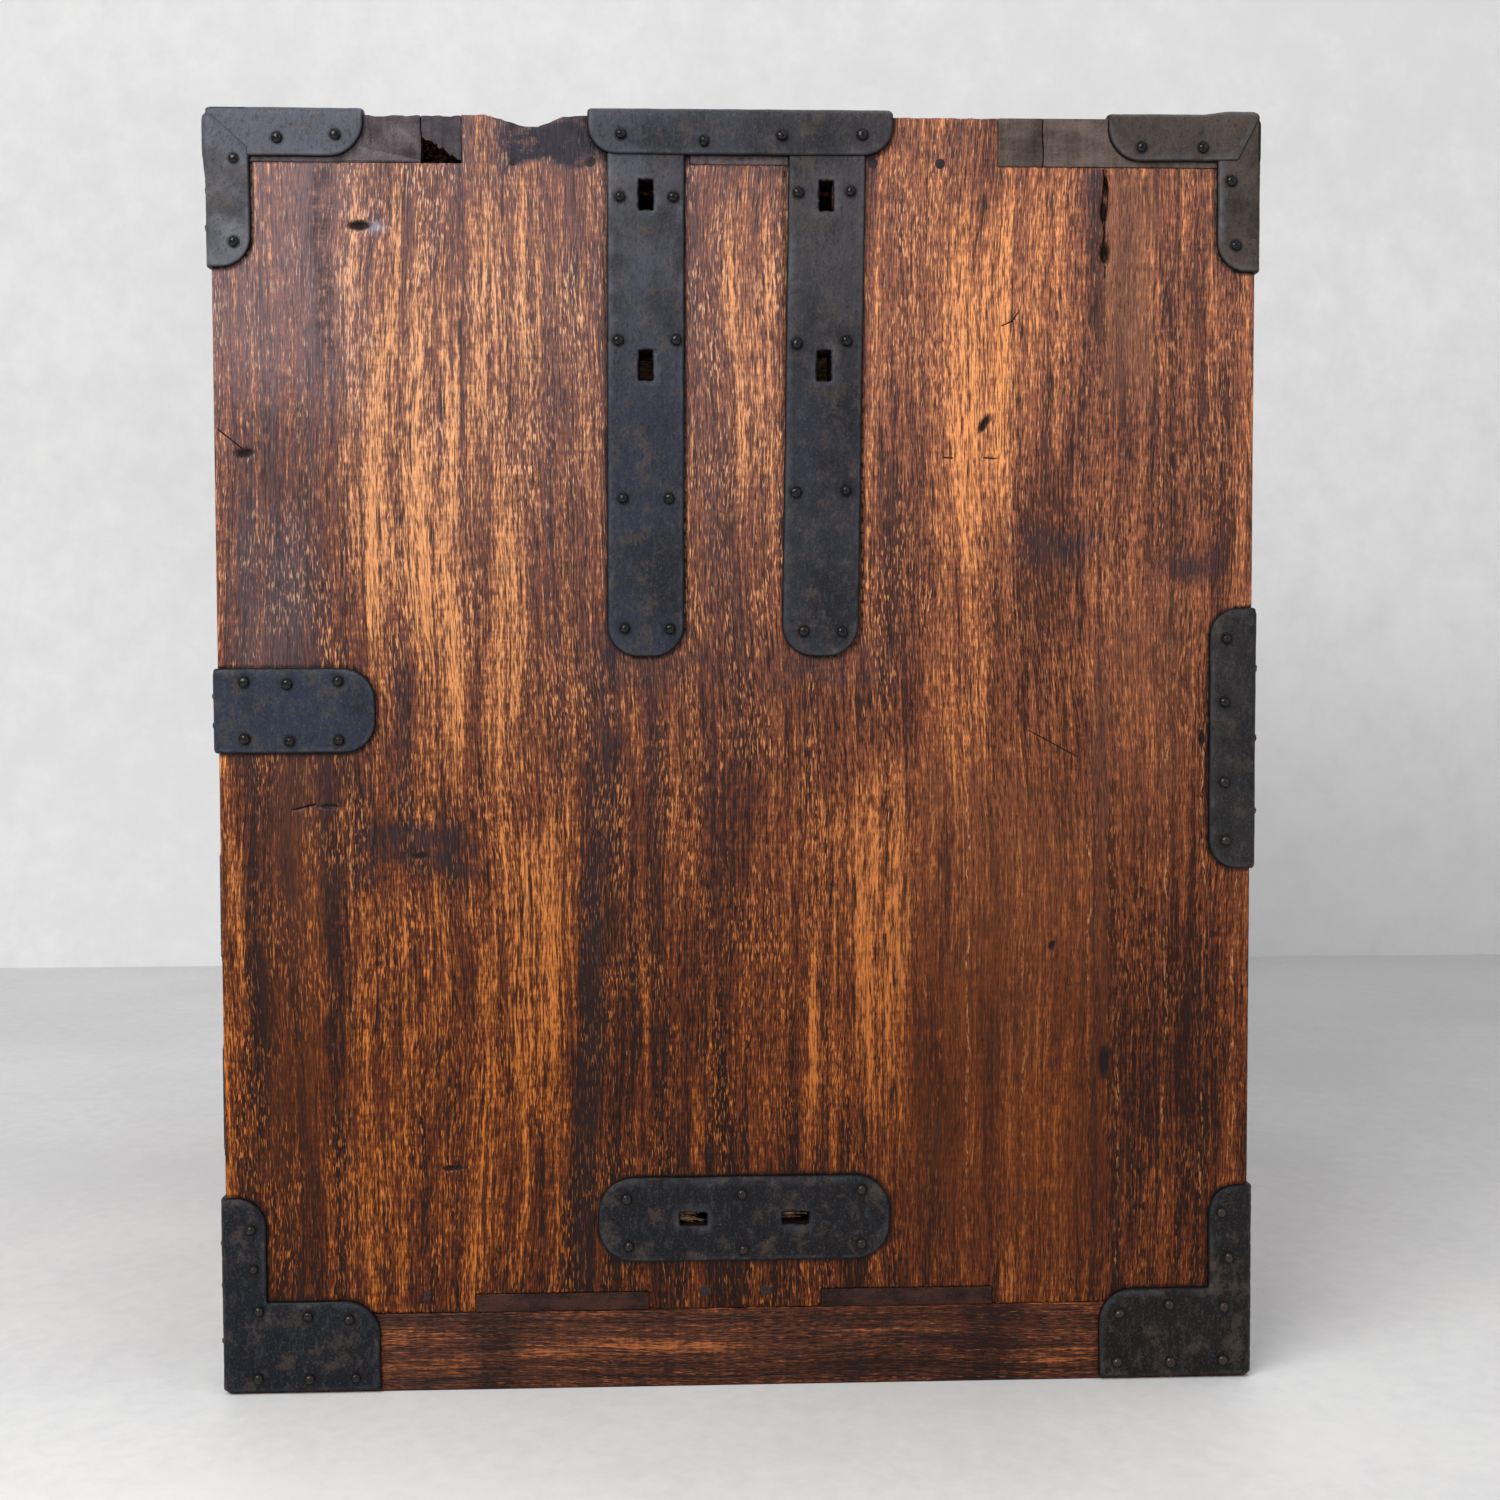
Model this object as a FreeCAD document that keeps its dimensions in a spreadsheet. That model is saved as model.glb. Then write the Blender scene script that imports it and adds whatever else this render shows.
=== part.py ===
"""Ship chest: a boarded wooden case with iron fittings, three drawers and a safe door.

Millimetres. The chest stands on z = 0 with its front towards -Y. X runs from the left side to
the right side, and the origin is under the middle of the case.
"""
import FreeCAD, Part
import os

import Sketcher
from FreeCAD import Placement, Rotation, Vector

SIZES = {
    # Case boards
    "case_width": 600,
    "case_depth": 456,
    "case_height": 561,
    "side_thick": 20,
    "top_thick": 30,
    "top_tongue_thick": 21,
    "bottom_thick": 16,
    "bottom_tongue_thick": 8,
    "base_height": 35,
    "base_thick": 20,
    "back_thick": 12,
    "back_rebate": 10,
    # Tongues of the top and bottom boards, measured back from the front edge
    "front_tongue_width": 108,
    "middle_tongue_start": 207,
    "middle_tongue_width": 43,
    "back_tongue_width": 114,
    "bottom_tongue_start": 109.5,
    "bottom_tongue_width": 77,
    "bottom_tongue_gap": 77,
    # Pegs
    "peg_dia": 5,
    "peg_length": 42,
    "top_peg_drop": 20,
    # Shelves and divider inside the case
    "shelf_height": 303,
    "shelf_thick": 22,
    "low_shelf_thick": 14,
    "housing_depth": 5,
    "divider_left": 12,
    "divider_thick": 18,
    # Iron plates
    "iron_thick": 1.6,
    "saddle_thick": 2.4,
    "top_iron_reach": 66,
    "top_iron_band": 19,
    "top_iron_leg": 66.5,
    "top_iron_leg_width": 17.5,
    "foot_iron_lift": 1.2,
    "foot_iron_reach": 67.5,
    "foot_iron_band": 40.3,
    "foot_iron_leg": 86.8,
    "foot_iron_leg_width": 18,
    "corner_round": 13,
    "saddle_offset": 1,
    "saddle_width": 133,
    "saddle_drop": 17.5,
    "saddle_reach": 44,
    "strap_width": 33.8,
    "strap_length": 217.5,
    "front_strap_offset": -40.8,
    "back_strap_offset": 37,
    "strap_slot_width": 6.4,
    "strap_slot_height": 13.2,
    "upper_slot_drop": 17,
    "lower_slot_drop": 90.5,
    "band_length": 68.5,
    "band_height": 37.2,
    "band_front_reach": 62,
    "back_bracket_width": 19.3,
    "back_bracket_height": 116.2,
    "back_bracket_bottom": 230.8,
    "low_plate_width": 130.5,
    "low_plate_height": 38,
    "low_plate_bottom": 57,
    "low_plate_offset": 1.2,
    "low_slot_width": 12.2,
    "low_slot_height": 5.7,
    "low_slot_spacing": 45.5,
    # Nails
    "nail_head_dia": 4.4,
    "nail_head_height": 1.3,
    "nail_dia": 2,
    "nail_depth": 11,
    "nail_hole_play": 0.1,
    # Drawers
    "drawer_front_thick": 20,
    "drawer_wall_thick": 11,
    "drawer_bottom_thick": 8,
    "drawer_back_play": 14,
    "drawer_rebate": 10,
    "drawer_side_play": 0.9,
    "drawer_top_play": 1.5,
    "drawer_floor_play": 0.3,
    "drawer_wall_drop": 6,
    # Bails and their eye pins
    "bail_dia": 5,
    "bail_round": 15,
    "bail_drop": 40,
    "bail_span": 96,
    "bail_stand": 6.5,
    "bail_pin_dia": 3.4,
    "bail_pin_play": 0.06,
    "eye_dia": 7.2,
    "eye_thick": 4,
    "eye_side_play": 0.4,
    "rosette_dia": 24,
    "eye_shank_dia": 3.6,
    "eye_shank_depth": 15,
    "top_bail_inset": 129,
    # Lock plates and the lock of the top drawer
    "lock_plate_dia": 62,
    "lock_plate_drop": 8,
    "small_lock_plate_dia": 46,
    "small_lock_plate_drop": 8,
    "small_lock_bail_drop": 20,
    "keyhole_dia": 7,
    "keyhole_slot": 3.2,
    "keyhole_length": 15,
    "lock_case_width": 78,
    "lock_case_height": 46,
    "lock_case_depth": 16,
    "lock_case_wall": 2.5,
    "lock_case_drop": 1,
    "bolt_width": 22,
    "bolt_thick": 6,
    "bolt_length": 36,
    "bolt_throw": 7,
    "bolt_play": 0.3,
    "bolt_rest_drop": 0.5,
    "mortise_play": 1,
    # Corner plates on the drawer fronts and the door
    "corner_plate_reach": 42,
    "corner_plate_band": 14,
    "corner_plate_round": 7,
    # Safe door and its hinges
    "door_thick": 18,
    "door_play": 1,
    "door_lock_inset": 34,
    "hinge_length": 46,
    "hinge_inset": 54,
    "hinge_barrel_dia": 4.4,
    "hinge_barrel_play": 0.2,
    "hinge_pin_dia": 2.2,
    "hinge_pin_play": 0.05,
    "hinge_pin_head_dia": 3.8,
    "hinge_leaf_reach": 44,
    "hinge_edge_reach": 12.5,
    "hinge_leaf_gap": 0.4,
    "hinge_nail_inset": 7,
}

BACK_PLANKS = 4

# Faces that iron leaves lie on: sketch plane, and the way out along the plane's normal
SIDE = ("YZ_Plane", 1)
FRONT = ("XZ_Plane", 1)
BACK = ("XZ_Plane", -1)
TOP = ("XY_Plane", 1)

# Turn of a nail, which points along +Z as drawn, to point out of each face
NAIL_TURN = {
    SIDE: Rotation(Vector(0, 1, 0), 90),
    FRONT: Rotation(Vector(1, 0, 0), 90),
    BACK: Rotation(Vector(1, 0, 0), -90),
    TOP: Rotation(),
}

TOLERANCE = 1e-6


class Size:
    """A length in mm together with the spreadsheet expression that gives it."""

    def __init__(self, value, text):
        self.value = value
        self.text = text

    def __add__(self, other):
        other = size_of(other)
        return Size(self.value + other.value, f"({self.text} + {other.text})")

    def __sub__(self, other):
        other = size_of(other)
        return Size(self.value - other.value, f"({self.text} - {other.text})")

    def __mul__(self, factor):
        return Size(self.value * factor, f"({self.text} * {factor})")

    def __truediv__(self, divisor):
        return Size(self.value / divisor, f"({self.text} / {divisor})")

    def __neg__(self):
        return self * -1

    def __radd__(self, other):
        return size_of(other) + self

    def __rsub__(self, other):
        return size_of(other) - self


def size_of(number):
    """Any number as a Size."""
    return number if isinstance(number, Size) else Size(float(number), repr(float(number)))


class Sheet:
    """The spreadsheet of driving sizes, read back as Size values by alias."""

    def __init__(self, document, sizes):
        cells = document.addObject("Spreadsheet::Sheet", "sizes")
        for row, (alias, value) in enumerate(sizes.items(), start=1):
            cells.set(f"A{row}", str(value))
            cells.setAlias(f"A{row}", alias)
            setattr(self, alias, Size(float(value), f"sizes.{alias}"))
        document.recompute()


doc = FreeCAD.newDocument("ship_chest")
S = Sheet(doc, SIZES)
parts = []


def bind(thing, target, size):
    """Tie a property of a document object to a size."""
    thing.setExpression(target, f"{size_of(size).text} * 1mm")


def part(label, thing):
    """Name a finished sub-part, which gives its file the same name."""
    thing.Label = label
    parts.append(thing)
    return thing


def mirrored(thing):
    """The same piece on the left side of the chest."""
    copy = doc.addObject("Part::Mirroring", "left_copy")
    copy.Source = thing
    copy.Normal = Vector(1, 0, 0)
    return copy


def group(things):
    """Separate solids that share one sub-part."""
    bundle = doc.addObject("Part::Compound", "bundle")
    bundle.Links = things
    return bundle


def fused(things):
    """One solid out of several overlapping ones."""
    joined = doc.addObject("Part::MultiFuse", "joined")
    joined.Shapes = things
    joined.Refine = True
    return joined


def cut(base, tools):
    """The base with every tool taken away."""
    result = doc.addObject("Part::Cut", "cut")
    result.Base = base
    result.Tool = tools[0] if len(tools) == 1 else fused(tools)
    return result


def box(x, y, z):
    """A square-edged block, from a low and a high value on each axis."""
    block = doc.addObject("Part::Box", "block")
    for side, axis, (low, high) in zip(("Length", "Width", "Height"), "xyz", (x, y, z)):
        bind(block, side, size_of(high) - low)
        bind(block, f"Placement.Base.{axis}", low)
    return block


def rod(direction, centre, start, end, diameter):
    """A cylinder along x, y or z; centre gives its place on all three axes, its own one unused."""
    turns = {"x": Rotation(Vector(0, 1, 0), 90), "y": Rotation(Vector(1, 0, 0), -90), "z": Rotation()}
    bar = doc.addObject("Part::Cylinder", "bar")
    bar.Placement = Placement(Vector(), turns[direction])
    bind(bar, "Radius", size_of(diameter) / 2)
    bind(bar, "Height", size_of(end) - start)
    for axis, place in zip("xyz", centre):
        bind(bar, f"Placement.Base.{axis}", start if axis == direction else place)
    return bar


# ---------------------------------------------------------------- sketches and iron leaves

def origin_plane(body, role):
    """One of a body's own origin planes."""
    return next(plane for plane in body.Origin.OriginFeatures if plane.Role == role)


def fix_point(sketch, edge, vertex, place):
    """Hold a sketch point at two bound distances from the sketch's origin."""
    for kind, size in zip(("DistanceX", "DistanceY"), place):
        size = size_of(size)
        index = sketch.addConstraint(Sketcher.Constraint(kind, -1, 1, edge, vertex, size.value))
        sketch.setExpression(f"Constraints[{index}]", size.text)


def add_loop(sketch, corners):
    """A closed run of straight lines through bound corners."""
    first = sketch.GeometryCount
    points = [Vector(size_of(a).value, size_of(b).value, 0) for a, b in corners]
    for start, end in zip(points, points[1:] + points[:1]):
        sketch.addGeometry(Part.LineSegment(start, end))
    for index, corner in enumerate(corners):
        following = first + (index + 1) % len(corners)
        sketch.addConstraint(Sketcher.Constraint("Coincident", first + index, 2, following, 1))
        fix_point(sketch, first + index, 1, corner)


def add_circle(sketch, centre, diameter):
    """A bound circle."""
    middle = Vector(size_of(centre[0]).value, size_of(centre[1]).value, 0)
    radius = size_of(diameter) / 2
    edge = sketch.addGeometry(Part.Circle(middle, Vector(0, 0, 1), radius.value))
    index = sketch.addConstraint(Sketcher.Constraint("Radius", edge, radius.value))
    sketch.setExpression(f"Constraints[{index}]", radius.text)
    fix_point(sketch, edge, 3, centre)


def rectangle(a, b):
    """The corners of a rectangle, from a low and a high value each way."""
    return [(a[0], b[0]), (a[1], b[0]), (a[1], b[1]), (a[0], b[1])]


def add_pad(body, face, height, thickness, loops, circles=()):
    """Pad a profile outward from a face of the chest that lies at the given height."""
    role, way = face
    sketch = body.newObject("Sketcher::SketchObject", "profile")
    sketch.AttachmentSupport = [(origin_plane(body, role), "")]
    sketch.MapMode = "FlatFace"
    bind(sketch, "AttachmentOffset.Base.z", size_of(height) * way)
    for loop in loops:
        add_loop(sketch, loop)
    for centre, diameter in circles:
        add_circle(sketch, centre, diameter)
    pad = body.newObject("PartDesign::Pad", "pad")
    pad.Profile = sketch
    pad.Reversed = way < 0
    bind(pad, "Length", thickness)
    return pad


def corner_edges(shape, face, places):
    """Names of the edges that stand square to a face at the given places on it."""
    axes = {"YZ_Plane": ("Y", "Z"), "XZ_Plane": ("X", "Z"), "XY_Plane": ("X", "Y")}[face[0]]
    wanted = [(size_of(a).value, size_of(b).value) for a, b in places]
    names = []
    for number, edge in enumerate(shape.Edges, start=1):
        ends = [tuple(getattr(vertex, axis) for axis in axes) for vertex in edge.Vertexes]
        for a, b in wanted:
            if len(ends) == 2 and all(abs(u - a) < TOLERANCE and abs(v - b) < TOLERANCE for u, v in ends):
                names.append(f"Edge{number}")
    return names


class Iron:
    """A forged plate of one or more leaves, with its nails.

    Each leaf lies on one face of the chest. Its shape is given from a corner of its own, with
    both distances counted inward, so that a negative one lies past the edge of the chest.
    """

    def __init__(self, thickness=None):
        self.body = doc.addObject("PartDesign::Body", "iron")
        self.thickness = thickness or S.iron_thick
        self.rounds = []
        self.nails = []

    def leaf(self, face, height, corner, ways, outline, rounds=(), nails=(), slots=(), holes=()):
        """Add a leaf on a face; rounds are (corner places, radius), holes are (place, diameter)."""

        def placed(point):
            return tuple(size_of(start) + size_of(step) * way
                         for start, step, way in zip(corner, point, ways))

        loops = [[placed(point) for point in outline]]
        loops += [[placed(point) for point in rectangle(*slot)] for slot in slots]
        hole = S.nail_dia + S.nail_hole_play * 2
        circles = [(placed(nail), hole) for nail in nails]
        circles += [(placed(place), diameter) for place, diameter in holes]
        self.pad = add_pad(self.body, face, height, self.thickness, loops, circles)
        self.rounds += [(face, [placed(place) for place in places], radius) for places, radius in rounds]
        self.nails += [(face, placed(nail), size_of(height) + self.thickness) for nail in nails]
        return self

    def finish(self):
        """Round the corners that were asked for."""
        base = self.pad
        for face, places, radius in self.rounds:
            doc.recompute()
            fillet = self.body.newObject("PartDesign::Fillet", "round")
            fillet.Base = (base, corner_edges(base.Shape, face, places))
            bind(fillet, "Radius", radius)
            base = fillet
        return self


def master_nail():
    """A forged nail with a domed head: head up, the plate's face at z = 0."""
    head_radius = S.nail_head_dia / 2
    dome = doc.addObject("Part::Sphere", "dome")
    bind(dome, "Radius", head_radius)
    cap = doc.addObject("Part::Box", "cap")
    for side in ("Length", "Width"):
        bind(cap, side, S.nail_head_dia)
    bind(cap, "Height", S.nail_head_height)
    bind(cap, "Placement.Base.x", -head_radius)
    bind(cap, "Placement.Base.y", -head_radius)
    flattened = doc.addObject("Part::Common", "head")
    flattened.Base = dome
    flattened.Tool = cap
    shank = rod("z", (0, 0, 0), -S.nail_depth, S.nail_head_height / 2, S.nail_dia)
    return fused([flattened, shank])


def drive_nails(places):
    """A nail for each (face, place on it, height of the plate's outer face), all separate solids."""
    nails = []
    for face, place, height in places:
        nail = doc.addObject("App::Link", "nail")
        nail.LinkedObject = NAIL
        nail.Placement = Placement(Vector(), NAIL_TURN[face])
        along = {"YZ_Plane": "yz", "XZ_Plane": "xz", "XY_Plane": "xy"}[face[0]]
        outward = ({"x", "y", "z"} - set(along)).pop()
        for axis, size in zip(along, place):
            bind(nail, f"Placement.Base.{axis}", size)
        bind(nail, f"Placement.Base.{outward}", -height if face == FRONT else height)
        nails.append(nail)
    return nails


def nails_of(irons):
    """The nail places of several irons."""
    return [nail for iron in irons for nail in iron.nails]


NAIL = master_nail()

# ---------------------------------------------------------------- shared places

right = S.case_width / 2
left = -right
back = S.case_depth / 2
front = -back
top = S.case_height
inner_right = right - S.side_thick
top_underside = top - S.top_thick
floor_top = S.base_height + S.bottom_thick
shelf_bottom = S.shelf_height - S.shelf_thick / 2
shelf_top = S.shelf_height + S.shelf_thick / 2
inner_back = back - S.back_thick
low_shelf_height = (floor_top + shelf_bottom) / 2
low_shelf_bottom = low_shelf_height - S.low_shelf_thick / 2
low_shelf_top = low_shelf_height + S.low_shelf_thick / 2
divider_right = S.divider_left + S.divider_thick


def side_span(side, inner, outer):
    """An x range given from the middle outward, on the right (side 1) or left (side -1)."""
    return (inner, outer) if side > 0 else (-outer, -inner)


# ---------------------------------------------------------------- case boards

top_tongues = [
    (front, front + S.front_tongue_width),
    (front + S.middle_tongue_start, front + S.middle_tongue_start + S.middle_tongue_width),
    (back - S.back_tongue_width, back),
]
low_tongue_start = front + S.bottom_tongue_start
low_tongue_step = S.bottom_tongue_width + S.bottom_tongue_gap
bottom_tongues = [
    (low_tongue_start, low_tongue_start + S.bottom_tongue_width),
    (low_tongue_start + low_tongue_step, low_tongue_start + low_tongue_step + S.bottom_tongue_width),
]
top_tongue_z = (top - S.top_tongue_thick, top)
bottom_tongue_z = (S.base_height, S.base_height + S.bottom_tongue_thick)


def tongued_board(z, tongues, tongue_z):
    """A board between the sides, with tongues that pass through both sides."""
    pieces = [box((-inner_right, inner_right), (front, back), z)]
    pieces += [box((left, right), span, tongue_z) for span in tongues]
    return fused(pieces)


# The lock's bolt stands just behind the top drawer's front and rises into the top board.
bolt_x = (-S.bolt_width / 2, S.bolt_width / 2)
bolt_y = (front + S.drawer_front_thick + S.bolt_play, front + S.drawer_front_thick + S.bolt_play + S.bolt_thick)
mortise = box((bolt_x[0] - S.mortise_play, bolt_x[1] + S.mortise_play),
              (bolt_y[0] - S.mortise_play, bolt_y[1] + S.mortise_play),
              (top_underside, top_underside + S.bolt_throw + S.mortise_play))
part("top_board", cut(tongued_board((top_underside, top), top_tongues, top_tongue_z), [mortise]))
part("bottom_board", tongued_board((S.base_height, floor_top), bottom_tongues, bottom_tongue_z))

strap_middles = {"front": S.front_strap_offset, "back": S.back_strap_offset}
strap_top = top - S.saddle_drop
strap_slots = [
    ((middle - S.strap_slot_width / 2, middle + S.strap_slot_width / 2),
     (strap_top - drop - S.strap_slot_height / 2, strap_top - drop + S.strap_slot_height / 2))
    for middle in strap_middles.values()
    for drop in (S.upper_slot_drop, S.lower_slot_drop)
]
low_plate_middle_z = S.low_plate_bottom + S.low_plate_height / 2
low_slots = [
    ((S.low_plate_offset + S.low_slot_spacing * share - S.low_slot_width / 2,
      S.low_plate_offset + S.low_slot_spacing * share + S.low_slot_width / 2),
     (low_plate_middle_z - S.low_slot_height / 2, low_plate_middle_z + S.low_slot_height / 2))
    for share in (-0.5, 0.5)
]


def side_board(label, side):
    """A side, notched for the tongues, housed for the shelves and rebated for the back."""
    through = side_span(side, inner_right, right)
    housing = side_span(side, inner_right, inner_right + S.housing_depth)
    rebate = side_span(side, inner_right, inner_right + S.back_rebate)
    board = box(through, (front, back), (S.base_height, top))
    cuts = [box(through, span, top_tongue_z) for span in top_tongues]
    cuts += [box(through, span, bottom_tongue_z) for span in bottom_tongues]
    cuts += [box(through, y, z) for y, z in strap_slots + low_slots]
    cuts.append(box(housing, (front, inner_back), (shelf_bottom, shelf_top)))
    if side < 0:
        cuts.append(box(housing, (front, inner_back), (low_shelf_bottom, low_shelf_top)))
    cuts.append(box(rebate, (inner_back, back), (floor_top, top_underside)))
    part(label, cut(board, cuts))


side_board("right_side_board", 1)
side_board("left_side_board", -1)

plank_width = (inner_right + S.back_rebate) * 2 / BACK_PLANKS
planks = [
    box((-inner_right - S.back_rebate + plank_width * number,
         -inner_right - S.back_rebate + plank_width * (number + 1)),
        (inner_back, back), (floor_top, top_underside))
    for number in range(BACK_PLANKS)
]
part("back_planks", group(planks))

base_z = (0, S.base_height)
base_inner = right - S.base_thick
part("right_base_rail", box((base_inner, right), (front, back), base_z))
part("left_base_rail", box((left, -base_inner), (front, back), base_z))
part("front_base_rail", box((-base_inner, base_inner), (front, front + S.base_thick), base_z))
part("back_base_rail", box((-base_inner, base_inner), (back - S.base_thick, back), base_z))

housed = inner_right + S.housing_depth
part("mid_shelf", box((-housed, housed), (front, inner_back), (shelf_bottom, shelf_top)))
divider_board = box((S.divider_left, divider_right), (front, inner_back), (floor_top, shelf_bottom))
divider_housing = box((S.divider_left, S.divider_left + S.housing_depth), (front, inner_back),
                      (low_shelf_bottom, low_shelf_top))
part("lower_divider", cut(divider_board, [divider_housing]))
part("lower_shelf", box((-housed, S.divider_left + S.housing_depth), (front, inner_back),
                        (low_shelf_bottom, low_shelf_top)))

# Pegs stand in the side's wood between the tongues, at shares of each stretch.
finger_pegs = [
    (top_tongues[0][1], top_tongues[1][0], (0.22, 0.56)),
    (top_tongues[1][1], top_tongues[2][0], (0.4, 0.72)),
]
foot_pegs = [
    (front, bottom_tongues[0][0], (0.31, 0.8)),
    (bottom_tongues[0][1], bottom_tongues[1][0], (0.32, 0.68)),
    (bottom_tongues[1][1], back, (0.22,)),
]


def peg_row(stretches, height):
    """Pegs through both sides at one height."""
    pegs = []
    for start, end, shares in stretches:
        for share in shares:
            y = start + (end - start) * share
            for side in (1, -1):
                inner, outer = side_span(side, right - S.peg_length, right)
                pegs.append(rod("x", (0, y, height), inner, outer, S.peg_dia))
    return pegs


part("wooden_pegs", group(peg_row(finger_pegs, top - S.top_peg_drop)
                          + peg_row(foot_pegs, S.base_height + S.bottom_thick / 2)))

# ---------------------------------------------------------------- irons of the two sides


def spread(width, height, shares, start=(0, 0)):
    """Places at shares of a plate's width and height, counted from one corner of it."""
    return [(start[0] + width * a, start[1] + height * b) for a, b in shares]


def corner_outline(reach, band, leg, width, past_a, past_b):
    """An L with both arms along edges of the chest; past_ values lap over those edges."""
    return [(-past_a, -past_b), (reach, -past_b), (reach, band), (width, band), (width, leg), (-past_a, leg)]


def corner_iron(way, corner_z, way_z, shape, side_nails, face_nails, over_top):
    """A three-way corner iron at the front (way 1) or back (way -1) edge of the right side.

    The nails of a leaf are shares of its level arm, then shares of its upright leg.
    """
    reach, band, leg, width = shape
    side_nails, face_nails = [spread(reach, band, arm_shares) + spread(width, leg, leg_shares)
                              for arm_shares, leg_shares in (side_nails, face_nails)]
    lap = S.iron_thick
    lap_z = lap if over_top else 0
    edge, face = (front, FRONT) if way > 0 else (back, BACK)
    round_places = [([(reach, band)], S.corner_round + 2), ([(width, leg)], S.corner_round)]
    iron = Iron()
    iron.leaf(SIDE, right, (edge, corner_z), (way, way_z),
              corner_outline(reach, band, leg, width, lap, lap_z), round_places, side_nails)
    iron.leaf(face, back, (right, corner_z), (-1, way_z),
              corner_outline(reach, band, leg, width, 0, lap_z), round_places, face_nails)
    if over_top:
        iron.leaf(TOP, top, (right, edge), (-1, way),
                  corner_outline(reach, width, reach, width, 0, 0),
                  [([(reach, width)], S.corner_round), ([(width, reach)], S.corner_round)],
                  spread(reach, width, [(0.64, 0.51)]) + spread(width, reach, [(0.51, 0.64)]))
    return iron.finish()


top_shape = (S.top_iron_reach, S.top_iron_band, S.top_iron_leg, S.top_iron_leg_width)
foot_shape = (S.foot_iron_reach, S.foot_iron_band, S.foot_iron_leg, S.foot_iron_leg_width)
foot_z = S.foot_iron_lift

top_face_arm = [(0.45, 0.53), (0.83, 0.53)]
foot_face_nails = ([(0.13, 0.5), (0.47, 0.74), (0.8, 0.74), (0.47, 0.2), (0.8, 0.2)],
                   [(0.5, 0.74), (0.5, 0.52)])

side_irons = {
    "top_front_corner_iron": corner_iron(
        1, top, -1, top_shape,
        ([(0.445, 0.6), (0.821, 0.521)], [(0.623, 0.307), (0.589, 0.839)]),
        (top_face_arm, [(0.51, 0.48), (0.51, 0.72)]), True),
    "top_back_corner_iron": corner_iron(
        -1, top, -1, top_shape,
        ([(0.777, 0.674), (0.367, 0.674)], [(0.651, 0.409), (0.526, 0.829)]),
        (top_face_arm, [(0.51, 0.57), (0.51, 0.71)]), True),
    "bottom_front_corner_iron": corner_iron(
        1, foot_z, 1, foot_shape,
        ([(0.213, 0.906), (0.532, 0.841), (0.799, 0.799), (0.206, 0.156), (0.539, 0.146), (0.84, 0.149)],
         [(0.633, 0.839), (0.694, 0.637)]),
        foot_face_nails, False),
    "bottom_back_corner_iron": corner_iron(
        -1, foot_z, 1, foot_shape,
        ([(0.163, 0.782), (0.529, 0.814), (0.865, 0.722), (0.877, 0.176), (0.519, 0.166), (0.167, 0.179)],
         [(0.683, 0.858), (0.494, 0.621)]),
        foot_face_nails, False),
}


def saddle_plate():
    """The plate over the middle of the top edge, above the two straps."""
    start = S.saddle_offset - S.saddle_width / 2
    width = S.saddle_width
    iron = Iron(S.saddle_thick)
    iron.leaf(SIDE, right, (start, top), (1, -1),
              rectangle((0, width), (-S.saddle_thick, S.saddle_drop)),
              [([(0, S.saddle_drop), (width, S.saddle_drop)], S.corner_round)],
              spread(width, S.saddle_drop, [(0.109, 0.514), (0.38, 0.669), (0.635, 0.531), (0.898, 0.491)]))
    iron.leaf(TOP, top, (right, start), (-1, 1),
              rectangle((0, S.saddle_reach), (0, width)),
              [([(S.saddle_reach, 0), (S.saddle_reach, width)], S.corner_round)],
              spread(S.saddle_reach, width, [(0.68, 0.09), (0.73, 0.5), (0.68, 0.91)]))
    return iron.finish()


def strap(middle, nail_shares):
    """A long upright strap with two slots, its foot rounded."""
    half = S.strap_width / 2
    slots = [((half - S.strap_slot_width / 2, half + S.strap_slot_width / 2),
              (drop - S.strap_slot_height / 2, drop + S.strap_slot_height / 2))
             for drop in (S.upper_slot_drop, S.lower_slot_drop)]
    iron = Iron()
    iron.leaf(SIDE, right, (middle - half, strap_top), (1, -1),
              rectangle((0, S.strap_width), (0, S.strap_length)),
              [([(0, S.strap_length), (S.strap_width, S.strap_length)], S.corner_round + 1)],
              spread(S.strap_width, S.strap_length, nail_shares), slots)
    return iron.finish()


def mid_band():
    """The band that wraps the front edge beside the shelf, with a tail along the shelf's edge."""
    start = S.shelf_height - S.band_height / 2
    shelf_low = shelf_bottom - start + 1
    shelf_high = shelf_top - start - 1
    edge_width = S.side_thick - 1
    iron = Iron()
    iron.leaf(SIDE, right, (front, start), (1, 1),
              rectangle((-S.iron_thick, S.band_length), (0, S.band_height)),
              [([(S.band_length, 0), (S.band_length, S.band_height)], S.corner_round + 1)],
              spread(S.band_length, S.band_height, [(0.174, 0.836), (0.444, 0.812), (0.768, 0.844),
                                                    (0.174, 0.169), (0.458, 0.142), (0.769, 0.151)]))
    iron.leaf(FRONT, back, (right, start), (-1, 1),
              [(0, 0), (edge_width, 0), (edge_width, shelf_low), (S.band_front_reach, shelf_low),
               (S.band_front_reach, shelf_high), (edge_width, shelf_high),
               (edge_width, S.band_height), (0, S.band_height)],
              [([(S.band_front_reach, shelf_low), (S.band_front_reach, shelf_high)], S.corner_round / 2)],
              spread(edge_width, S.band_height, [(0.47, 0.32), (0.47, 0.67)])
              + spread(S.band_front_reach, shelf_high - shelf_low, [(0.52, 0.27), (0.52, 0.77), (0.84, 0.52)],
                       (0, shelf_low)))
    return iron.finish()


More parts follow.
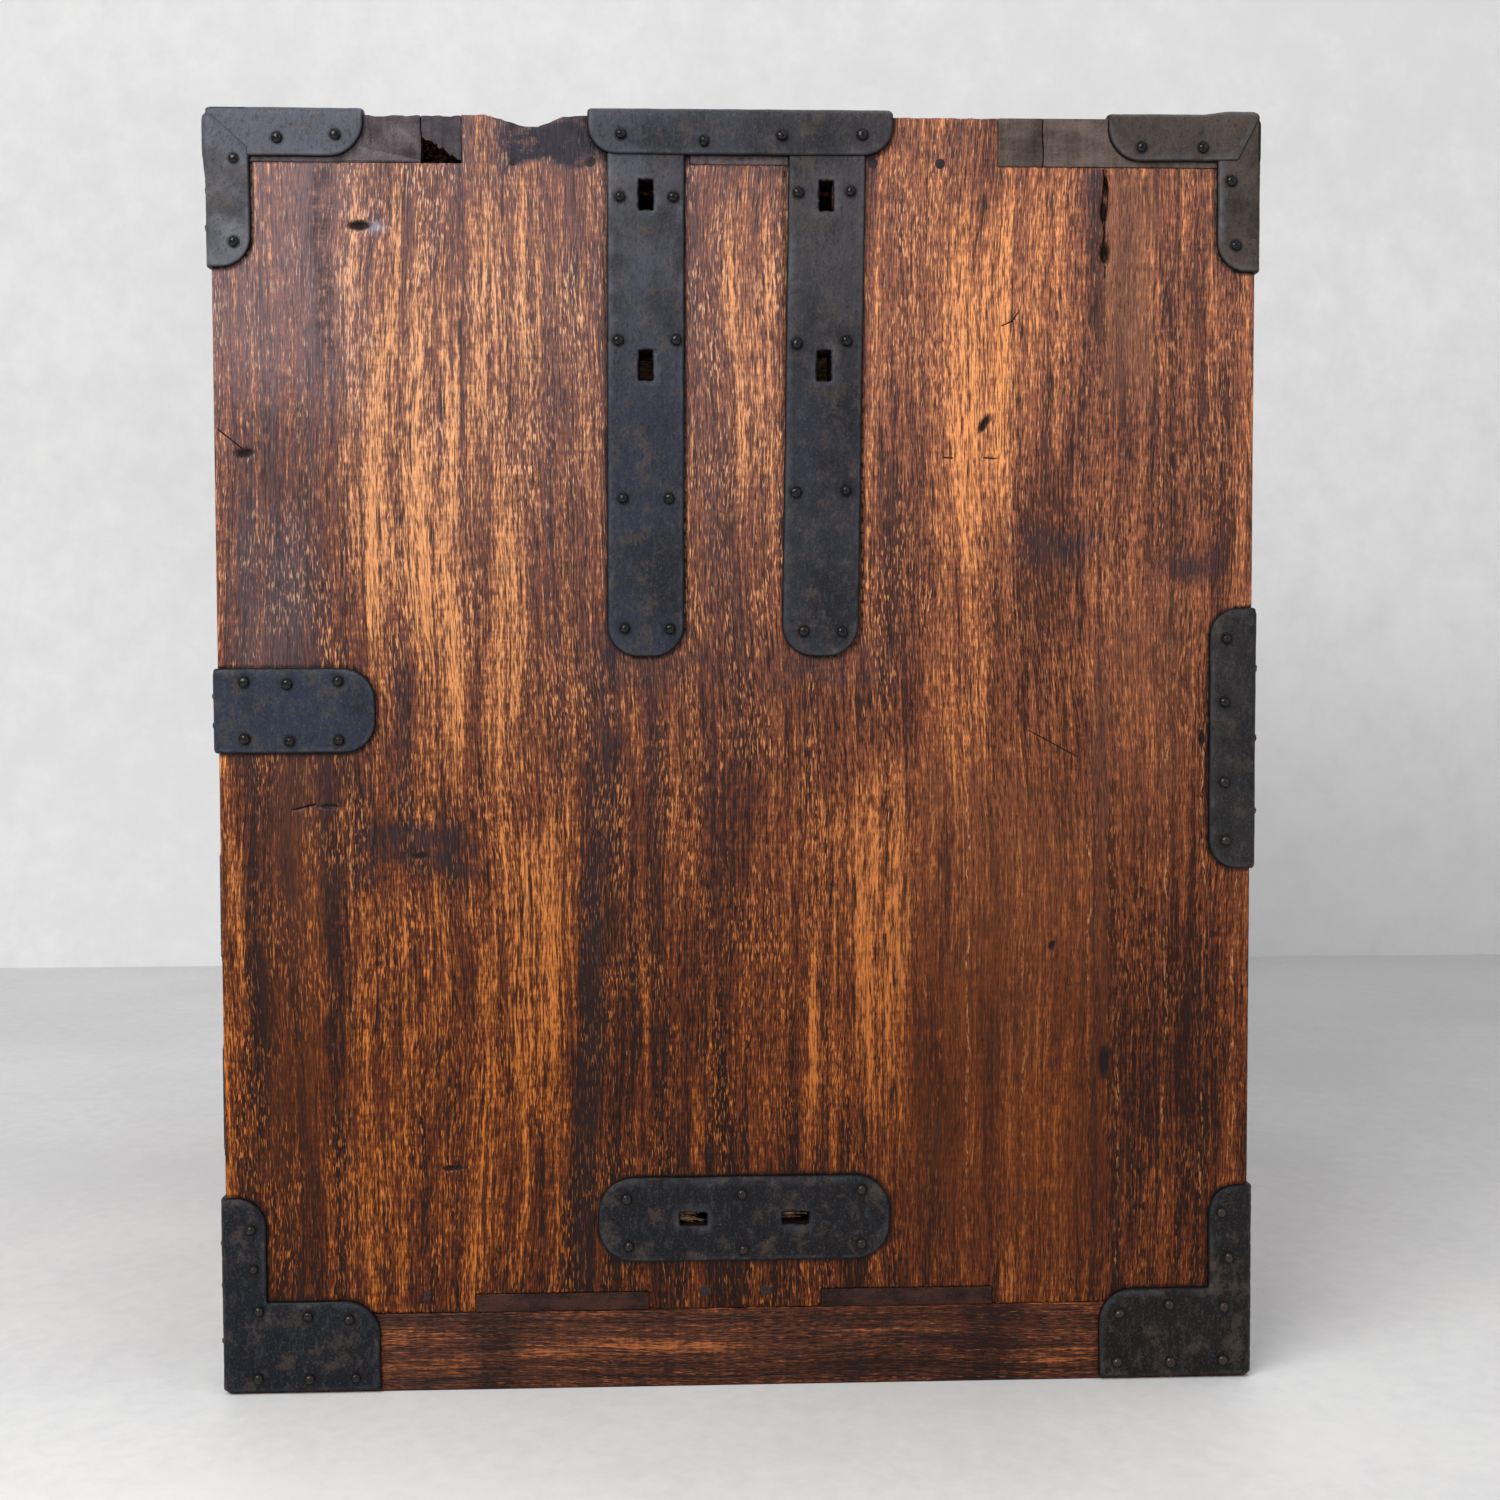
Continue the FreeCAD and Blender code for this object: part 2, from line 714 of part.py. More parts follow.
def back_bracket():
    """The bracket that wraps the back edge at half height."""
    iron = Iron()
    iron.leaf(SIDE, right, (back, S.back_bracket_bottom), (-1, 1),
              rectangle((-S.iron_thick, S.back_bracket_width), (0, S.back_bracket_height)),
              [([(S.back_bracket_width, 0), (S.back_bracket_width, S.back_bracket_height)], S.corner_round)],
              spread(S.back_bracket_width, S.back_bracket_height,
                     [(0.627, 0.881), (0.658, 0.639), (0.648, 0.332), (0.611, 0.109)]))
    iron.leaf(BACK, back, (right, S.back_bracket_bottom), (-1, 1),
              rectangle((0, S.back_bracket_width), (0, S.back_bracket_height)),
              [([(S.back_bracket_width, 0), (S.back_bracket_width, S.back_bracket_height)], S.corner_round)],
              spread(S.back_bracket_width, S.back_bracket_height, [(0.31, 0.77), (0.31, 0.5), (0.31, 0.22)]))
    return iron.finish()


def low_plate():
    """The round-ended plate low on the side, with two slots for a lifting handle."""
    width = S.low_plate_width
    height = S.low_plate_height
    slots = []
    for share in (-0.5, 0.5):
        middle = width / 2 + S.low_slot_spacing * share
        slots.append(((middle - S.low_slot_width / 2, middle + S.low_slot_width / 2),
                      (height / 2 - S.low_slot_height / 2, height / 2 + S.low_slot_height / 2)))
    ends = [(0, 0), (width, 0), (0, height), (width, height)]
    iron = Iron()
    iron.leaf(SIDE, right, (S.low_plate_offset - width / 2, S.low_plate_bottom), (1, 1),
              rectangle((0, width), (0, height)), [(ends, S.corner_round + 3)],
              spread(width, height, [(0.099, 0.75), (0.491, 0.789), (0.9, 0.829),
                                     (0.105, 0.192), (0.497, 0.134), (0.9, 0.184)]),
              slots)
    return iron.finish()


side_irons["saddle_plate"] = saddle_plate()
side_irons["front_strap"] = strap(
    S.front_strap_offset,
    [(0.183, 0.083), (0.864, 0.083), (0.148, 0.367), (0.896, 0.366),
     (0.201, 0.682), (0.796, 0.682), (0.216, 0.943), (0.802, 0.944)])
side_irons["back_strap"] = strap(
    S.back_strap_offset,
    [(0.178, 0.073), (0.852, 0.07), (0.154, 0.373), (0.799, 0.367),
     (0.139, 0.67), (0.787, 0.666), (0.237, 0.949), (0.74, 0.951)])
side_irons["mid_band"] = mid_band()
side_irons["back_edge_bracket"] = back_bracket()
side_irons["lower_plate"] = low_plate()

for name, iron in side_irons.items():
    part(f"right_{name}", iron.body)

left_groups = {
    "left_corner_irons": [name for name in side_irons if "corner" in name],
    "left_saddle_plate": ["saddle_plate"],
    "left_straps": ["front_strap", "back_strap"],
    "left_mid_band": ["mid_band"],
    "left_back_edge_bracket": ["back_edge_bracket"],
    "left_lower_plate": ["lower_plate"],
}
for label, names in left_groups.items():
    part(label, group([mirrored(side_irons[name].body) for name in names]))

right_nails = part("right_side_nails", group(drive_nails(nails_of(side_irons.values()))))
part("left_side_nails", mirrored(right_nails))

# ---------------------------------------------------------------- bails and their eye pins

bail_y = front - S.bail_stand
pin_reach = (S.eye_thick + S.bail_dia) / 2 + S.eye_side_play


def bail(label, x, z):
    """A U-shaped iron bail that hangs from two eyes, with its pins on the line (bail_y, z)."""
    half = S.bail_span / 2
    bend = S.bail_round
    low = z - S.bail_drop
    pieces = [rod("x", (0, bail_y, low), x - half + bend, x + half - bend, S.bail_dia)]
    for way in (1, -1):
        leg_x = x + half * way
        inner, outer = sorted((leg_x - pin_reach * 2 * way, leg_x), key=lambda size: size.value)
        pieces.append(rod("z", (leg_x, bail_y, 0), low + bend, z, S.bail_dia))
        pieces.append(rod("x", (0, bail_y, z), inner, outer, S.bail_pin_dia))
        knuckle = doc.addObject("Part::Sphere", "knuckle")
        bind(knuckle, "Radius", S.bail_dia / 2)
        elbow = doc.addObject("Part::Torus", "elbow")
        bind(elbow, "Radius1", bend)
        bind(elbow, "Radius2", S.bail_dia / 2)
        elbow.Angle3 = 90
        turn = Rotation(Vector(1, 0, 0), 90) * Rotation(Vector(0, 0, 1), -90 if way > 0 else 180)
        elbow.Placement = Placement(Vector(), turn)
        for ball, place in ((knuckle, (leg_x, z)), (elbow, (leg_x - bend * way, low + bend))):
            bind(ball, "Placement.Base.x", place[0])
            bind(ball, "Placement.Base.y", bail_y)
            bind(ball, "Placement.Base.z", place[1])
            pieces.append(ball)
    return part(label, fused(pieces))


def eye_places(x):
    """The middles of the two eyes that carry a bail."""
    return [x + (S.bail_span / 2 - pin_reach) * way for way in (-1, 1)]


def eye_pins(x, z):
    """The two eye pins of a bail, driven into the board behind."""
    pins = []
    for eye_x in eye_places(x):
        lug = rod("x", (0, bail_y, z), eye_x - S.eye_thick / 2, eye_x + S.eye_thick / 2, S.eye_dia)
        shank = rod("y", (eye_x, 0, z), bail_y, front + S.eye_shank_depth, S.eye_shank_dia)
        bore = rod("x", (0, bail_y, z), eye_x - S.eye_thick, eye_x + S.eye_thick,
                   S.bail_pin_dia + S.bail_pin_play * 2)
        pins.append(cut(fused([lug, shank]), [bore]))
    return pins


def rosettes(x, z):
    """The round washers under the eyes."""
    rings = []
    for eye_x in eye_places(x):
        disc = rod("y", (eye_x, 0, z), front - S.iron_thick, front, S.rosette_dia)
        bore = rod("y", (eye_x, 0, z), front - S.iron_thick * 2, front + S.iron_thick,
                   S.eye_shank_dia + S.nail_hole_play * 2)
        rings.append(cut(disc, [bore]))
    return rings


def lock_plate(x, z, diameter):
    """A round plate with a keyhole and four nails."""
    disc = rod("y", (x, 0, z), front - S.iron_thick, front, diameter)
    through = (front - S.iron_thick * 2, front + S.iron_thick)
    bore = rod("y", (x, 0, z), *through, S.keyhole_dia)
    slot = box((x - S.keyhole_slot / 2, x + S.keyhole_slot / 2), through, (z - S.keyhole_length, z))
    ring = diameter / 2 - S.nail_head_dia
    places = [(x + ring * a, z + ring * b) for a, b in ((1, 0), (-1, 0), (0, 1), (0, -1))]
    hole = S.nail_dia + S.nail_hole_play * 2
    nail_holes = [rod("y", (nail_x, 0, nail_z), *through, hole) for nail_x, nail_z in places]
    plate = cut(disc, [bore, slot] + nail_holes)
    return plate, [(FRONT, place, back + S.iron_thick) for place in places]


def corner_plates(x, z):
    """Small L plates in the four corners of a front that spans x and z."""
    reach = S.corner_plate_reach
    band = S.corner_plate_band
    plates = []
    for way_x, way_z in ((1, 1), (-1, 1), (1, -1), (-1, -1)):
        corner = (x[0] if way_x > 0 else x[1], z[0] if way_z > 0 else z[1])
        iron = Iron()
        iron.leaf(FRONT, back, corner, (way_x, way_z),
                  corner_outline(reach, band, reach, band, 0, 0),
                  [([(reach, band), (band, reach)], S.corner_plate_round)],
                  [(band / 2, band / 2), (reach - band / 2, band / 2), (band / 2, reach - band / 2)])
        plates.append(iron.finish())
    return plates


def dress_front(name, x, z, lock_place, lock_dia, bails, further_nails=()):
    """The irons, fasteners and bails on a front that spans x and z.

    lock_place is the middle of the lock plate, bails maps each bail's name to the middle of its
    pin line, and further_nails hold irons that are parts of their own.
    """
    disc, lock_nails = lock_plate(*lock_place, lock_dia)
    corners = corner_plates(x, z)
    irons = [disc] + [iron.body for iron in corners]
    pins = []
    for place in bails.values():
        irons += rosettes(*place)
        pins += eye_pins(*place)
    part(f"{name}_irons", group(irons))
    nails = nails_of(corners) + lock_nails + list(further_nails)
    part(f"{name}_fasteners", group(pins + drive_nails(nails)))
    for bail_name, place in bails.items():
        bail(bail_name, *place)


# ---------------------------------------------------------------- drawers

top_opening_z = (shelf_top, top_underside)
low_opening_x = (-inner_right, S.divider_left)


def drawer(name, opening_x, opening_z):
    """A drawer that fits an opening: front, walls and bottom. Returns the front's x and z spans."""
    x = (opening_x[0] + S.drawer_side_play, opening_x[1] - S.drawer_side_play)
    z = (opening_z[0] + S.drawer_floor_play, opening_z[1] - S.drawer_top_play)
    wall = S.drawer_wall_thick
    front_rear = front + S.drawer_front_thick
    rear = inner_back - S.drawer_back_play
    wall_z = (z[0], z[1] - S.drawer_wall_drop)
    wall_y = (front_rear - S.drawer_rebate, rear)
    wall_xs = [(x[0], x[0] + wall), (x[1] - wall, x[1])]
    inner_x = (x[0] + wall, x[1] - wall)

    rebates = [box(wall_x, (wall_y[0], front_rear), wall_z) for wall_x in wall_xs]
    part(f"{name}_front", cut(box(x, (front, front_rear), z), rebates))
    walls = [box(wall_x, wall_y, wall_z) for wall_x in wall_xs]
    walls.append(box(inner_x, (rear - wall, rear), wall_z))
    part(f"{name}_walls", group(walls))
    part(f"{name}_bottom", box(inner_x, (front_rear, rear - wall), (z[0], z[0] + S.drawer_bottom_thick)))
    return x, z


top_x, top_z = drawer("top_drawer", (-inner_right, inner_right), top_opening_z)
top_bail_z = (top_z[0] + top_z[1] + S.bail_drop) / 2
dress_front("top_drawer", top_x, top_z,
            (size_of(0), top_z[1] - S.lock_plate_dia / 2 - S.lock_plate_drop), S.lock_plate_dia,
            {"top_drawer_left_bail": (top_x[0] + S.top_bail_inset, top_bail_z),
             "top_drawer_right_bail": (top_x[1] - S.top_bail_inset, top_bail_z)})

for name, opening_z in {"middle_drawer": (low_shelf_top, shelf_bottom),
                        "lower_drawer": (floor_top, low_shelf_bottom)}.items():
    low_x, low_z = drawer(name, low_opening_x, opening_z)
    low_middle = (low_x[0] + low_x[1]) / 2
    low_lock_z = low_z[1] - S.small_lock_plate_dia / 2 - S.small_lock_plate_drop
    dress_front(name, low_x, low_z, (low_middle, low_lock_z), S.small_lock_plate_dia,
                {f"{name}_bail": (low_middle, low_lock_z - S.small_lock_bail_drop)})

# ---------------------------------------------------------------- lock of the top drawer

case_top = top_z[1] - S.lock_case_drop
case_x = (-S.lock_case_width / 2, S.lock_case_width / 2)
case_y = (front + S.drawer_front_thick, front + S.drawer_front_thick + S.lock_case_depth)
case_z = (case_top - S.lock_case_height, case_top)
shell = S.lock_case_wall
hollow = box((case_x[0] + shell, case_x[1] - shell), (case_y[0], case_y[1] - shell),
             (case_z[0] + shell, case_z[1] - shell))
bolt_gate = box((bolt_x[0] - S.bolt_play, bolt_x[1] + S.bolt_play),
                (case_y[0], bolt_y[1] + S.bolt_play), (case_z[1] - shell * 2, case_z[1] + shell))
part("top_drawer_lock_case", cut(box(case_x, case_y, case_z), [hollow, bolt_gate]))
bolt_top = top_z[1] - S.bolt_rest_drop
part("top_drawer_lock_bolt", box(bolt_x, bolt_y, (bolt_top - S.bolt_length, bolt_top)))

# ---------------------------------------------------------------- safe door

door_x = (divider_right + S.door_play, inner_right - S.door_play)
door_z = (floor_top + S.door_play, shelf_bottom - S.door_play)
part("safe_door_panel", box(door_x, (front, front + S.door_thick), door_z))

barrel_x = inner_right
barrel_y = front - S.hinge_barrel_dia / 2 - S.hinge_barrel_play
leaf_y = (front - S.iron_thick, front)
knuckle_bore = S.hinge_pin_dia + S.hinge_pin_play * 2
hinge_starts = [floor_top + S.hinge_inset, shelf_bottom - S.hinge_inset - S.hinge_length]


def knuckles(start, thirds):
    """The knuckle spans of a hinge that starts at a height; thirds counts them from below."""
    third = S.hinge_length / 3
    half_gap = S.hinge_leaf_gap / 2
    return [(start + third * number + half_gap, start + third * (number + 1) - half_gap)
            for number in thirds]


def hinge_leaf(start, way, reach, thirds, nails):
    """One leaf: a plate beside the barrel, tabs to its knuckles, and the knuckles."""
    edge = barrel_x + (S.hinge_barrel_dia / 2 + S.hinge_leaf_gap) * way
    plate_x = (edge, barrel_x + reach) if way > 0 else (barrel_x - reach, edge)
    tab_x = (barrel_x, edge) if way > 0 else (edge, barrel_x)
    plate_z = (start, start + S.hinge_length)
    pieces = [box(plate_x, leaf_y, plate_z)]
    bores = []
    for z in knuckles(start, thirds):
        pieces.append(box(tab_x, leaf_y, z))
        pieces.append(rod("z", (barrel_x, barrel_y, 0), *z, S.hinge_barrel_dia))
        bores.append(rod("z", (barrel_x, barrel_y, 0), *z, knuckle_bore))
    hole = S.nail_dia + S.nail_hole_play * 2
    places = [(barrel_x + a * way, start + b) for a, b in nails]
    for x, z in places:
        bores.append(rod("y", (x, 0, z), front - S.iron_thick * 2, front + S.iron_thick, hole))
    return cut(fused(pieces), bores), [(FRONT, place, back + S.iron_thick) for place in places]


hinge_top = S.hinge_length - S.hinge_nail_inset
door_leaf_nails = [(S.hinge_leaf_reach - S.hinge_nail_inset, S.hinge_nail_inset),
                   (S.hinge_leaf_reach - S.hinge_nail_inset, hinge_top),
                   (S.hinge_leaf_reach / 2, S.hinge_length / 2)]
frame_leaf_nails = [(S.hinge_edge_reach - S.hinge_nail_inset, S.hinge_nail_inset),
                    (S.hinge_edge_reach - S.hinge_nail_inset, hinge_top)]
door_leaves = [hinge_leaf(start, -1, S.hinge_leaf_reach, [1], door_leaf_nails) for start in hinge_starts]
frame_leaves = [hinge_leaf(start, 1, S.hinge_edge_reach, [0, 2], frame_leaf_nails) for start in hinge_starts]
part("door_hinge_leaves", group([leaf for leaf, nails in door_leaves]))

door_middle_z = (door_z[0] + door_z[1]) / 2
door_lock_x = door_x[0] + S.door_lock_inset
door_bail_x = (door_lock_x + S.small_lock_plate_dia / 2 + barrel_x - S.hinge_leaf_reach) / 2
dress_front("safe_door", door_x, door_z, (door_lock_x, door_middle_z), S.small_lock_plate_dia,
            {"safe_door_bail": (door_bail_x, door_middle_z + S.bail_drop / 2)},
            [nail for leaf, nails in door_leaves for nail in nails])

part("frame_hinge_leaves", group([leaf for leaf, nails in frame_leaves]))
hinge_pins = []
for start in hinge_starts:
    head_z = start + S.hinge_length - S.hinge_leaf_gap / 2
    shaft = rod("z", (barrel_x, barrel_y, 0), start, head_z + S.nail_head_height, S.hinge_pin_dia)
    head = rod("z", (barrel_x, barrel_y, 0), head_z, head_z + S.nail_head_height, S.hinge_pin_head_dia)
    hinge_pins.append(fused([shaft, head]))
hinge_pins += drive_nails([nail for leaf, nails in frame_leaves for nail in nails])
part("frame_hinge_pins_and_nails", group(hinge_pins))

doc.recompute()

for thing in doc.Objects:
    if "Invalid" in thing.State or "Error" in thing.State:
        raise RuntimeError(f"{thing.Name} ({thing.Label}) failed: {thing.State}")
os.makedirs("parts", exist_ok=True)
for thing in parts:
    if thing.Shape.isNull() or not thing.Shape.isValid():
        raise RuntimeError(f"{thing.Label} has no valid shape")
    thing.Shape.exportStep(f"parts/{thing.Label}.step")
print(len(parts), "sub-parts")
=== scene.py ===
"""Ship chest of lacquered boards and black forged iron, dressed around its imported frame."""
import math
import random

import bmesh
import bpy
import numpy as np
from mathutils import Matrix, Vector, noise
from mathutils.geometry import delaunay_2d_cdt


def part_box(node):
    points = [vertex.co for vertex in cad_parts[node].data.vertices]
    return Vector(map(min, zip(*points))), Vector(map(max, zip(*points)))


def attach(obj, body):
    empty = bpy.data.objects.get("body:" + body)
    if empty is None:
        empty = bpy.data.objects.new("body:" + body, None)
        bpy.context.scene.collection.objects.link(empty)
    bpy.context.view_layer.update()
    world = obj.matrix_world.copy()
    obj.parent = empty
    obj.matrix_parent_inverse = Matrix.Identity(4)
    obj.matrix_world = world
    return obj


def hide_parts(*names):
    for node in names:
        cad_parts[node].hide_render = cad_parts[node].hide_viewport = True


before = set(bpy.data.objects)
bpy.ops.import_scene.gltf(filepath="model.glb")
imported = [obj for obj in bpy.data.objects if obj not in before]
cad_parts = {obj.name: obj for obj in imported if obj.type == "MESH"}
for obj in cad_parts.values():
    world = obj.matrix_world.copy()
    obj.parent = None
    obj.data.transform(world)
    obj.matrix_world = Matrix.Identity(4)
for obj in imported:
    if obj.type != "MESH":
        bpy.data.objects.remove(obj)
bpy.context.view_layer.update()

scene = bpy.context.scene

# ---------------------------------------------------------------- the room
# The chest stands on a pale concrete floor in front of a plain pale wall, in soft light that
# comes mostly from the upper left of its right side, which is the side the camera looks at.


def colour(red, green, blue):
    """A colour as painters' numbers, 0 to 255, turned into the linear values that shaders take."""
    return tuple(((c / 255 + 0.055) / 1.055) ** 2.4 if c > 10 else c / 3294.6
                 for c in (red, green, blue)) + (1.0,)


def add(tree, kind, sockets=None, **settings):
    """Add a node, set it, and fill its sockets with values or with other nodes' outputs."""
    node = tree.nodes.new(kind)
    for name, value in settings.items():
        setattr(node, name, value)
    for name, value in (sockets or {}).items():
        if isinstance(value, bpy.types.NodeSocket):
            tree.links.new(value, node.inputs[name])
        else:
            node.inputs[name].default_value = value
    return node


def tree_of(*values):
    """The node tree of the first output among some values."""
    return next(value.id_data for value in values if isinstance(value, bpy.types.NodeSocket))


def calc(operation, *values, clamp=False):
    """Arithmetic on values or outputs."""
    return add(tree_of(*values), "ShaderNodeMath", dict(enumerate(values)), operation=operation,
               use_clamp=clamp).outputs[0]


def times(first, second, clamp=False):
    """A product."""
    return calc("MULTIPLY", first, second, clamp=clamp)


def vector_calc(operation, first, second):
    """Arithmetic on places."""
    return add(first.id_data, "ShaderNodeVectorMath", {0: first, 1: second}, operation=operation).outputs[0]


def fade(value, low, high, start=0.0, end=1.0):
    """A soft step from start to end while a value goes from low to high."""
    sockets = {"Value": value, "From Min": low, "From Max": high, "To Min": start, "To Max": end}
    return add(value.id_data, "ShaderNodeMapRange", sockets, interpolation_type="SMOOTHSTEP").outputs[0]


def mix(share, first, second, way="MIX"):
    """Mix two colours by a share."""
    return add(tree_of(share, first, second), "ShaderNodeMix", {0: share, 6: first, 7: second},
               data_type="RGBA", blend_type=way).outputs[2]


def grainy(place, scale, detail=2.0, roughness=0.5):
    """Noise on a place that is first stretched by three scales, in features per metre."""
    sockets = {"Vector": vector_calc("MULTIPLY", place, scale), "Scale": 1.0, "Detail": detail,
               "Roughness": roughness}
    return add(place.id_data, "ShaderNodeTexNoise", sockets, noise_dimensions="3D").outputs[0]


def new_material(name, roughness, specular):
    """A material with its shader's constants set; returns it, its tree and its shader."""
    material = bpy.data.materials.new(name)
    material.use_nodes = True
    tree = material.node_tree
    shader = tree.nodes["Principled BSDF"]
    shader.inputs["Roughness"].default_value = roughness
    shader.inputs["Specular IOR Level"].default_value = specular
    return material, tree, shader


def object_place(tree):
    """Object coordinates, which are metres in the chest's own frame."""
    return add(tree, "ShaderNodeTexCoord").outputs["Object"]


def axes_of(place):
    """The X, Y and Z of a place."""
    return add(place.id_data, "ShaderNodeSeparateXYZ", {0: place}).outputs


def mottled_and_shaded(name, corners, turn, scale, roughness):
    """A nearly plain surface with soft mottling and four tones of painted light and shade, which meet in slow
    fades.

    corners are two pairs of tones; turn holds, for the step between pairs and within them,
    an axis and the two places on it.
    """
    material, tree, shader = new_material(name, roughness, 0.3)
    place = object_place(tree)
    axes = axes_of(place)
    (far_axis, *far_span), (side_axis, *side_span) = turn
    sideways = fade(axes[side_axis], *side_span)
    pairs = [mix(sideways, *(colour(shaded_tone, shaded_tone, shaded_tone) for shaded_tone in pair)) for pair in corners]
    shaded_tone = mix(fade(axes[far_axis], *far_span), *pairs)
    broad = grainy(place, (scale, scale, scale), 5.0, 0.6)
    fine = grainy(place, (scale * 30,) * 3, 4.0, 0.7)
    share = calc("MULTIPLY_ADD", fine, 0.35, times(broad, 0.65))
    darker = mix(1.0, shaded_tone, colour(240, 240, 241), "MULTIPLY")
    tree.links.new(mix(fade(share, 0.36, 0.64), darker, shaded_tone), shader.inputs["Base Color"])
    return material


def in_scene(name, data):
    """A new object at the origin."""
    thing = bpy.data.objects.new(name, data)
    scene.collection.objects.link(thing)
    return thing


# The wall's place on x, and how far the floor and the wall reach, in metres.
WALL_X, ROOM_HALF, ROOM_HEIGHT = -0.95, 6, 5
room = {}
for name, corners in {
    "floor": [(-ROOM_HALF, -ROOM_HALF, 0), (ROOM_HALF, -ROOM_HALF, 0), (ROOM_HALF, ROOM_HALF, 0),
              (-ROOM_HALF, ROOM_HALF, 0)],
    "wall": [(WALL_X, -ROOM_HALF, 0), (WALL_X, ROOM_HALF, 0), (WALL_X, ROOM_HALF, ROOM_HEIGHT),
             (WALL_X, -ROOM_HALF, ROOM_HEIGHT)],
}.items():
    mesh = bpy.data.meshes.new(name)
    mesh.from_pydata(corners, [], [(0, 1, 2, 3)])
    room[name] = in_scene(name, mesh)
# The four tones are painted light and shade: the floor is darker far off and to the right, and the wall is
# darker low on the right, where the chest's soft shadow falls.
room["floor"].data.materials.append(
    mottled_and_shaded("pale_concrete", ((210, 194), (238, 226)), (("X", -0.7, 0.7), ("Y", -0.5, 0.5)), 3.0, 0.55))
room["wall"].data.materials.append(
    mottled_and_shaded("pale_wall", ((250, 226), (233, 239)), (("Z", 0.1, 0.6), ("Y", -0.6, 0.6)), 0.8, 0.9))
# Seen from behind the wall is clear, so that it never hides the chest's left side.
tree = room["wall"].data.materials[0].node_tree
one_way = add(tree, "ShaderNodeMixShader", {
    0: add(tree, "ShaderNodeNewGeometry").outputs["Backfacing"], 1: tree.nodes["Principled BSDF"].outputs[0],
    2: add(tree, "ShaderNodeBsdfTransparent").outputs[0]})
tree.links.new(one_way.outputs[0], tree.nodes["Material Output"].inputs["Surface"])

camera = in_scene("camera", bpy.data.cameras.new("camera"))
camera.location = (1.18126, -0.03204, 0.32573)
camera.rotation_euler = [math.radians(a) for a in (87.3422, 0.1752, 87.6293)]
camera.data.sensor_width = 36
camera.data.lens = 48
camera.data.clip_start = 0.05
scene.camera = camera

for name, place, target, size, watts, tint in (
    ("key_light", (1.65, -1.05, 1.6), (0.25, 0.0, 0.3), 1.4, 43, (1.0, 0.99, 0.975)),
    ("fill_light", (1.7, 1.9, 1.3), (0.2, 0.0, 0.25), 2.0, 9, (1.0, 1.0, 1.0)),
    ("back_light", (-0.5, 0.6, 2.6), (-0.2, 0.0, 0.3), 2.2, 22, (1.0, 1.0, 1.0)),
):
    lamp = bpy.data.lights.new(name, "AREA")
    lamp.energy, lamp.size, lamp.color = watts, size, tint
    light = in_scene(name, lamp)
    light.location = place
    light.rotation_euler = (Vector(target) - Vector(place)).to_track_quat("-Z", "Y").to_euler()
world = bpy.data.worlds.new("room_light")
world.use_nodes = True
world.node_tree.nodes["Background"].inputs["Color"].default_value = (0.985, 0.99, 1.0, 1)
world.node_tree.nodes["Background"].inputs["Strength"].default_value = 0.44
scene.world = world
scene.view_settings.view_transform = "Standard"

# ---------------------------------------------------------------- side boards
# Each side is one wide board of open-grained wood, its grain upright, brushed with dark lacquer
# that has worn off the ridges. Its edges are rubbed, and the top edge has lost a bite.
# It is notched for the top and bottom boards and has slots where handles were fixed.


def rounded(corners):
    """A closed run of corners, each given as (a, b, radius), with rounds drawn as short chords."""
    points = []
    for index, (a, b, radius) in enumerate(corners):
        here = Vector((a, b))
        if not radius:
            points.append((a, b))
            continue
        before = (Vector(corners[index - 1][:2]) - here).normalized()
        after = (Vector(corners[(index + 1) % len(corners)][:2]) - here).normalized()
        half = before.angle(after) / 2
        centre = here + (before + after).normalized() * (radius / math.sin(half))
        start = here + before * (radius / math.tan(half)) - centre
        turn = start.angle_signed(here + after * (radius / math.tan(half)) - centre)
        count = max(3, round(abs(turn) * radius / 1.3))
        for step in range(count + 1):
            arm = start.copy()
            arm.rotate(Matrix.Rotation(-turn * step / count, 2))
            points.append(tuple(centre + arm))
    return points


def walk(corners, step):
    """Points at most a step apart along a closed run of corners."""
    points = []
    for (a, b), (c, d) in zip(corners, corners[1:] + corners[:1]):
        count = max(1, math.ceil(math.hypot(c - a, d - b) / step))
        points += [(a + (c - a) * i / count, b + (d - b) * i / count) for i in range(count)]
    return points


def turned(loop, counter_clockwise):
    """The loop in the asked sense of turning."""
    area = sum(a[0] * b[1] - b[0] * a[1] for a, b in zip(loop, loop[1:] + loop[:1]))
    return loop if (area > 0) == counter_clockwise else loop[::-1]


def run_distance(points, run):
    """How far points are from an open run of straight lines."""
    best = np.full(len(points), 1e9)
    for a, b in zip(np.array(run[:-1], float), np.array(run[1:], float)):
        along = b - a
        share = np.clip(((points - a) @ along) / (along @ along), 0, 1)
        best = np.minimum(best, np.hypot(*(points - a - share[:, None] * along).T))
    return best


def distance_to(points, loops):
    """How far each point is from the nearest edge of the closed loops."""
    return np.min([run_distance(points, list(loop) + [loop[0]]) for loop in loops], axis=0)


def inside(points, loop):
    """Which points lie inside a closed loop."""
    hits = np.zeros(len(points), bool)
    for (ax, ay), (bx, by) in zip(loop, np.roll(loop, -1, axis=0)):
        if ay != by:
            crosses = (ay > points[:, 1]) != (by > points[:, 1])
            hits ^= crosses & (points[:, 0] < (bx - ax) * (points[:, 1] - ay) / (by - ay) + ax)
    return hits


def held(points, loops):
    """Which points lie inside the first loop and outside the others."""
    kept = inside(points, loops[0])
    for loop in loops[1:]:
        kept &= ~inside(points, loop)
    return kept


def rim_edges(loops):
    """Pairs of neighbours round each loop, as numbers into the points of all the loops."""
    edges, start = [], 0
    for loop in loops:
        edges += [(start + i, start + (i + 1) % len(loop)) for i in range(len(loop))]
        start += len(loop)
    return edges


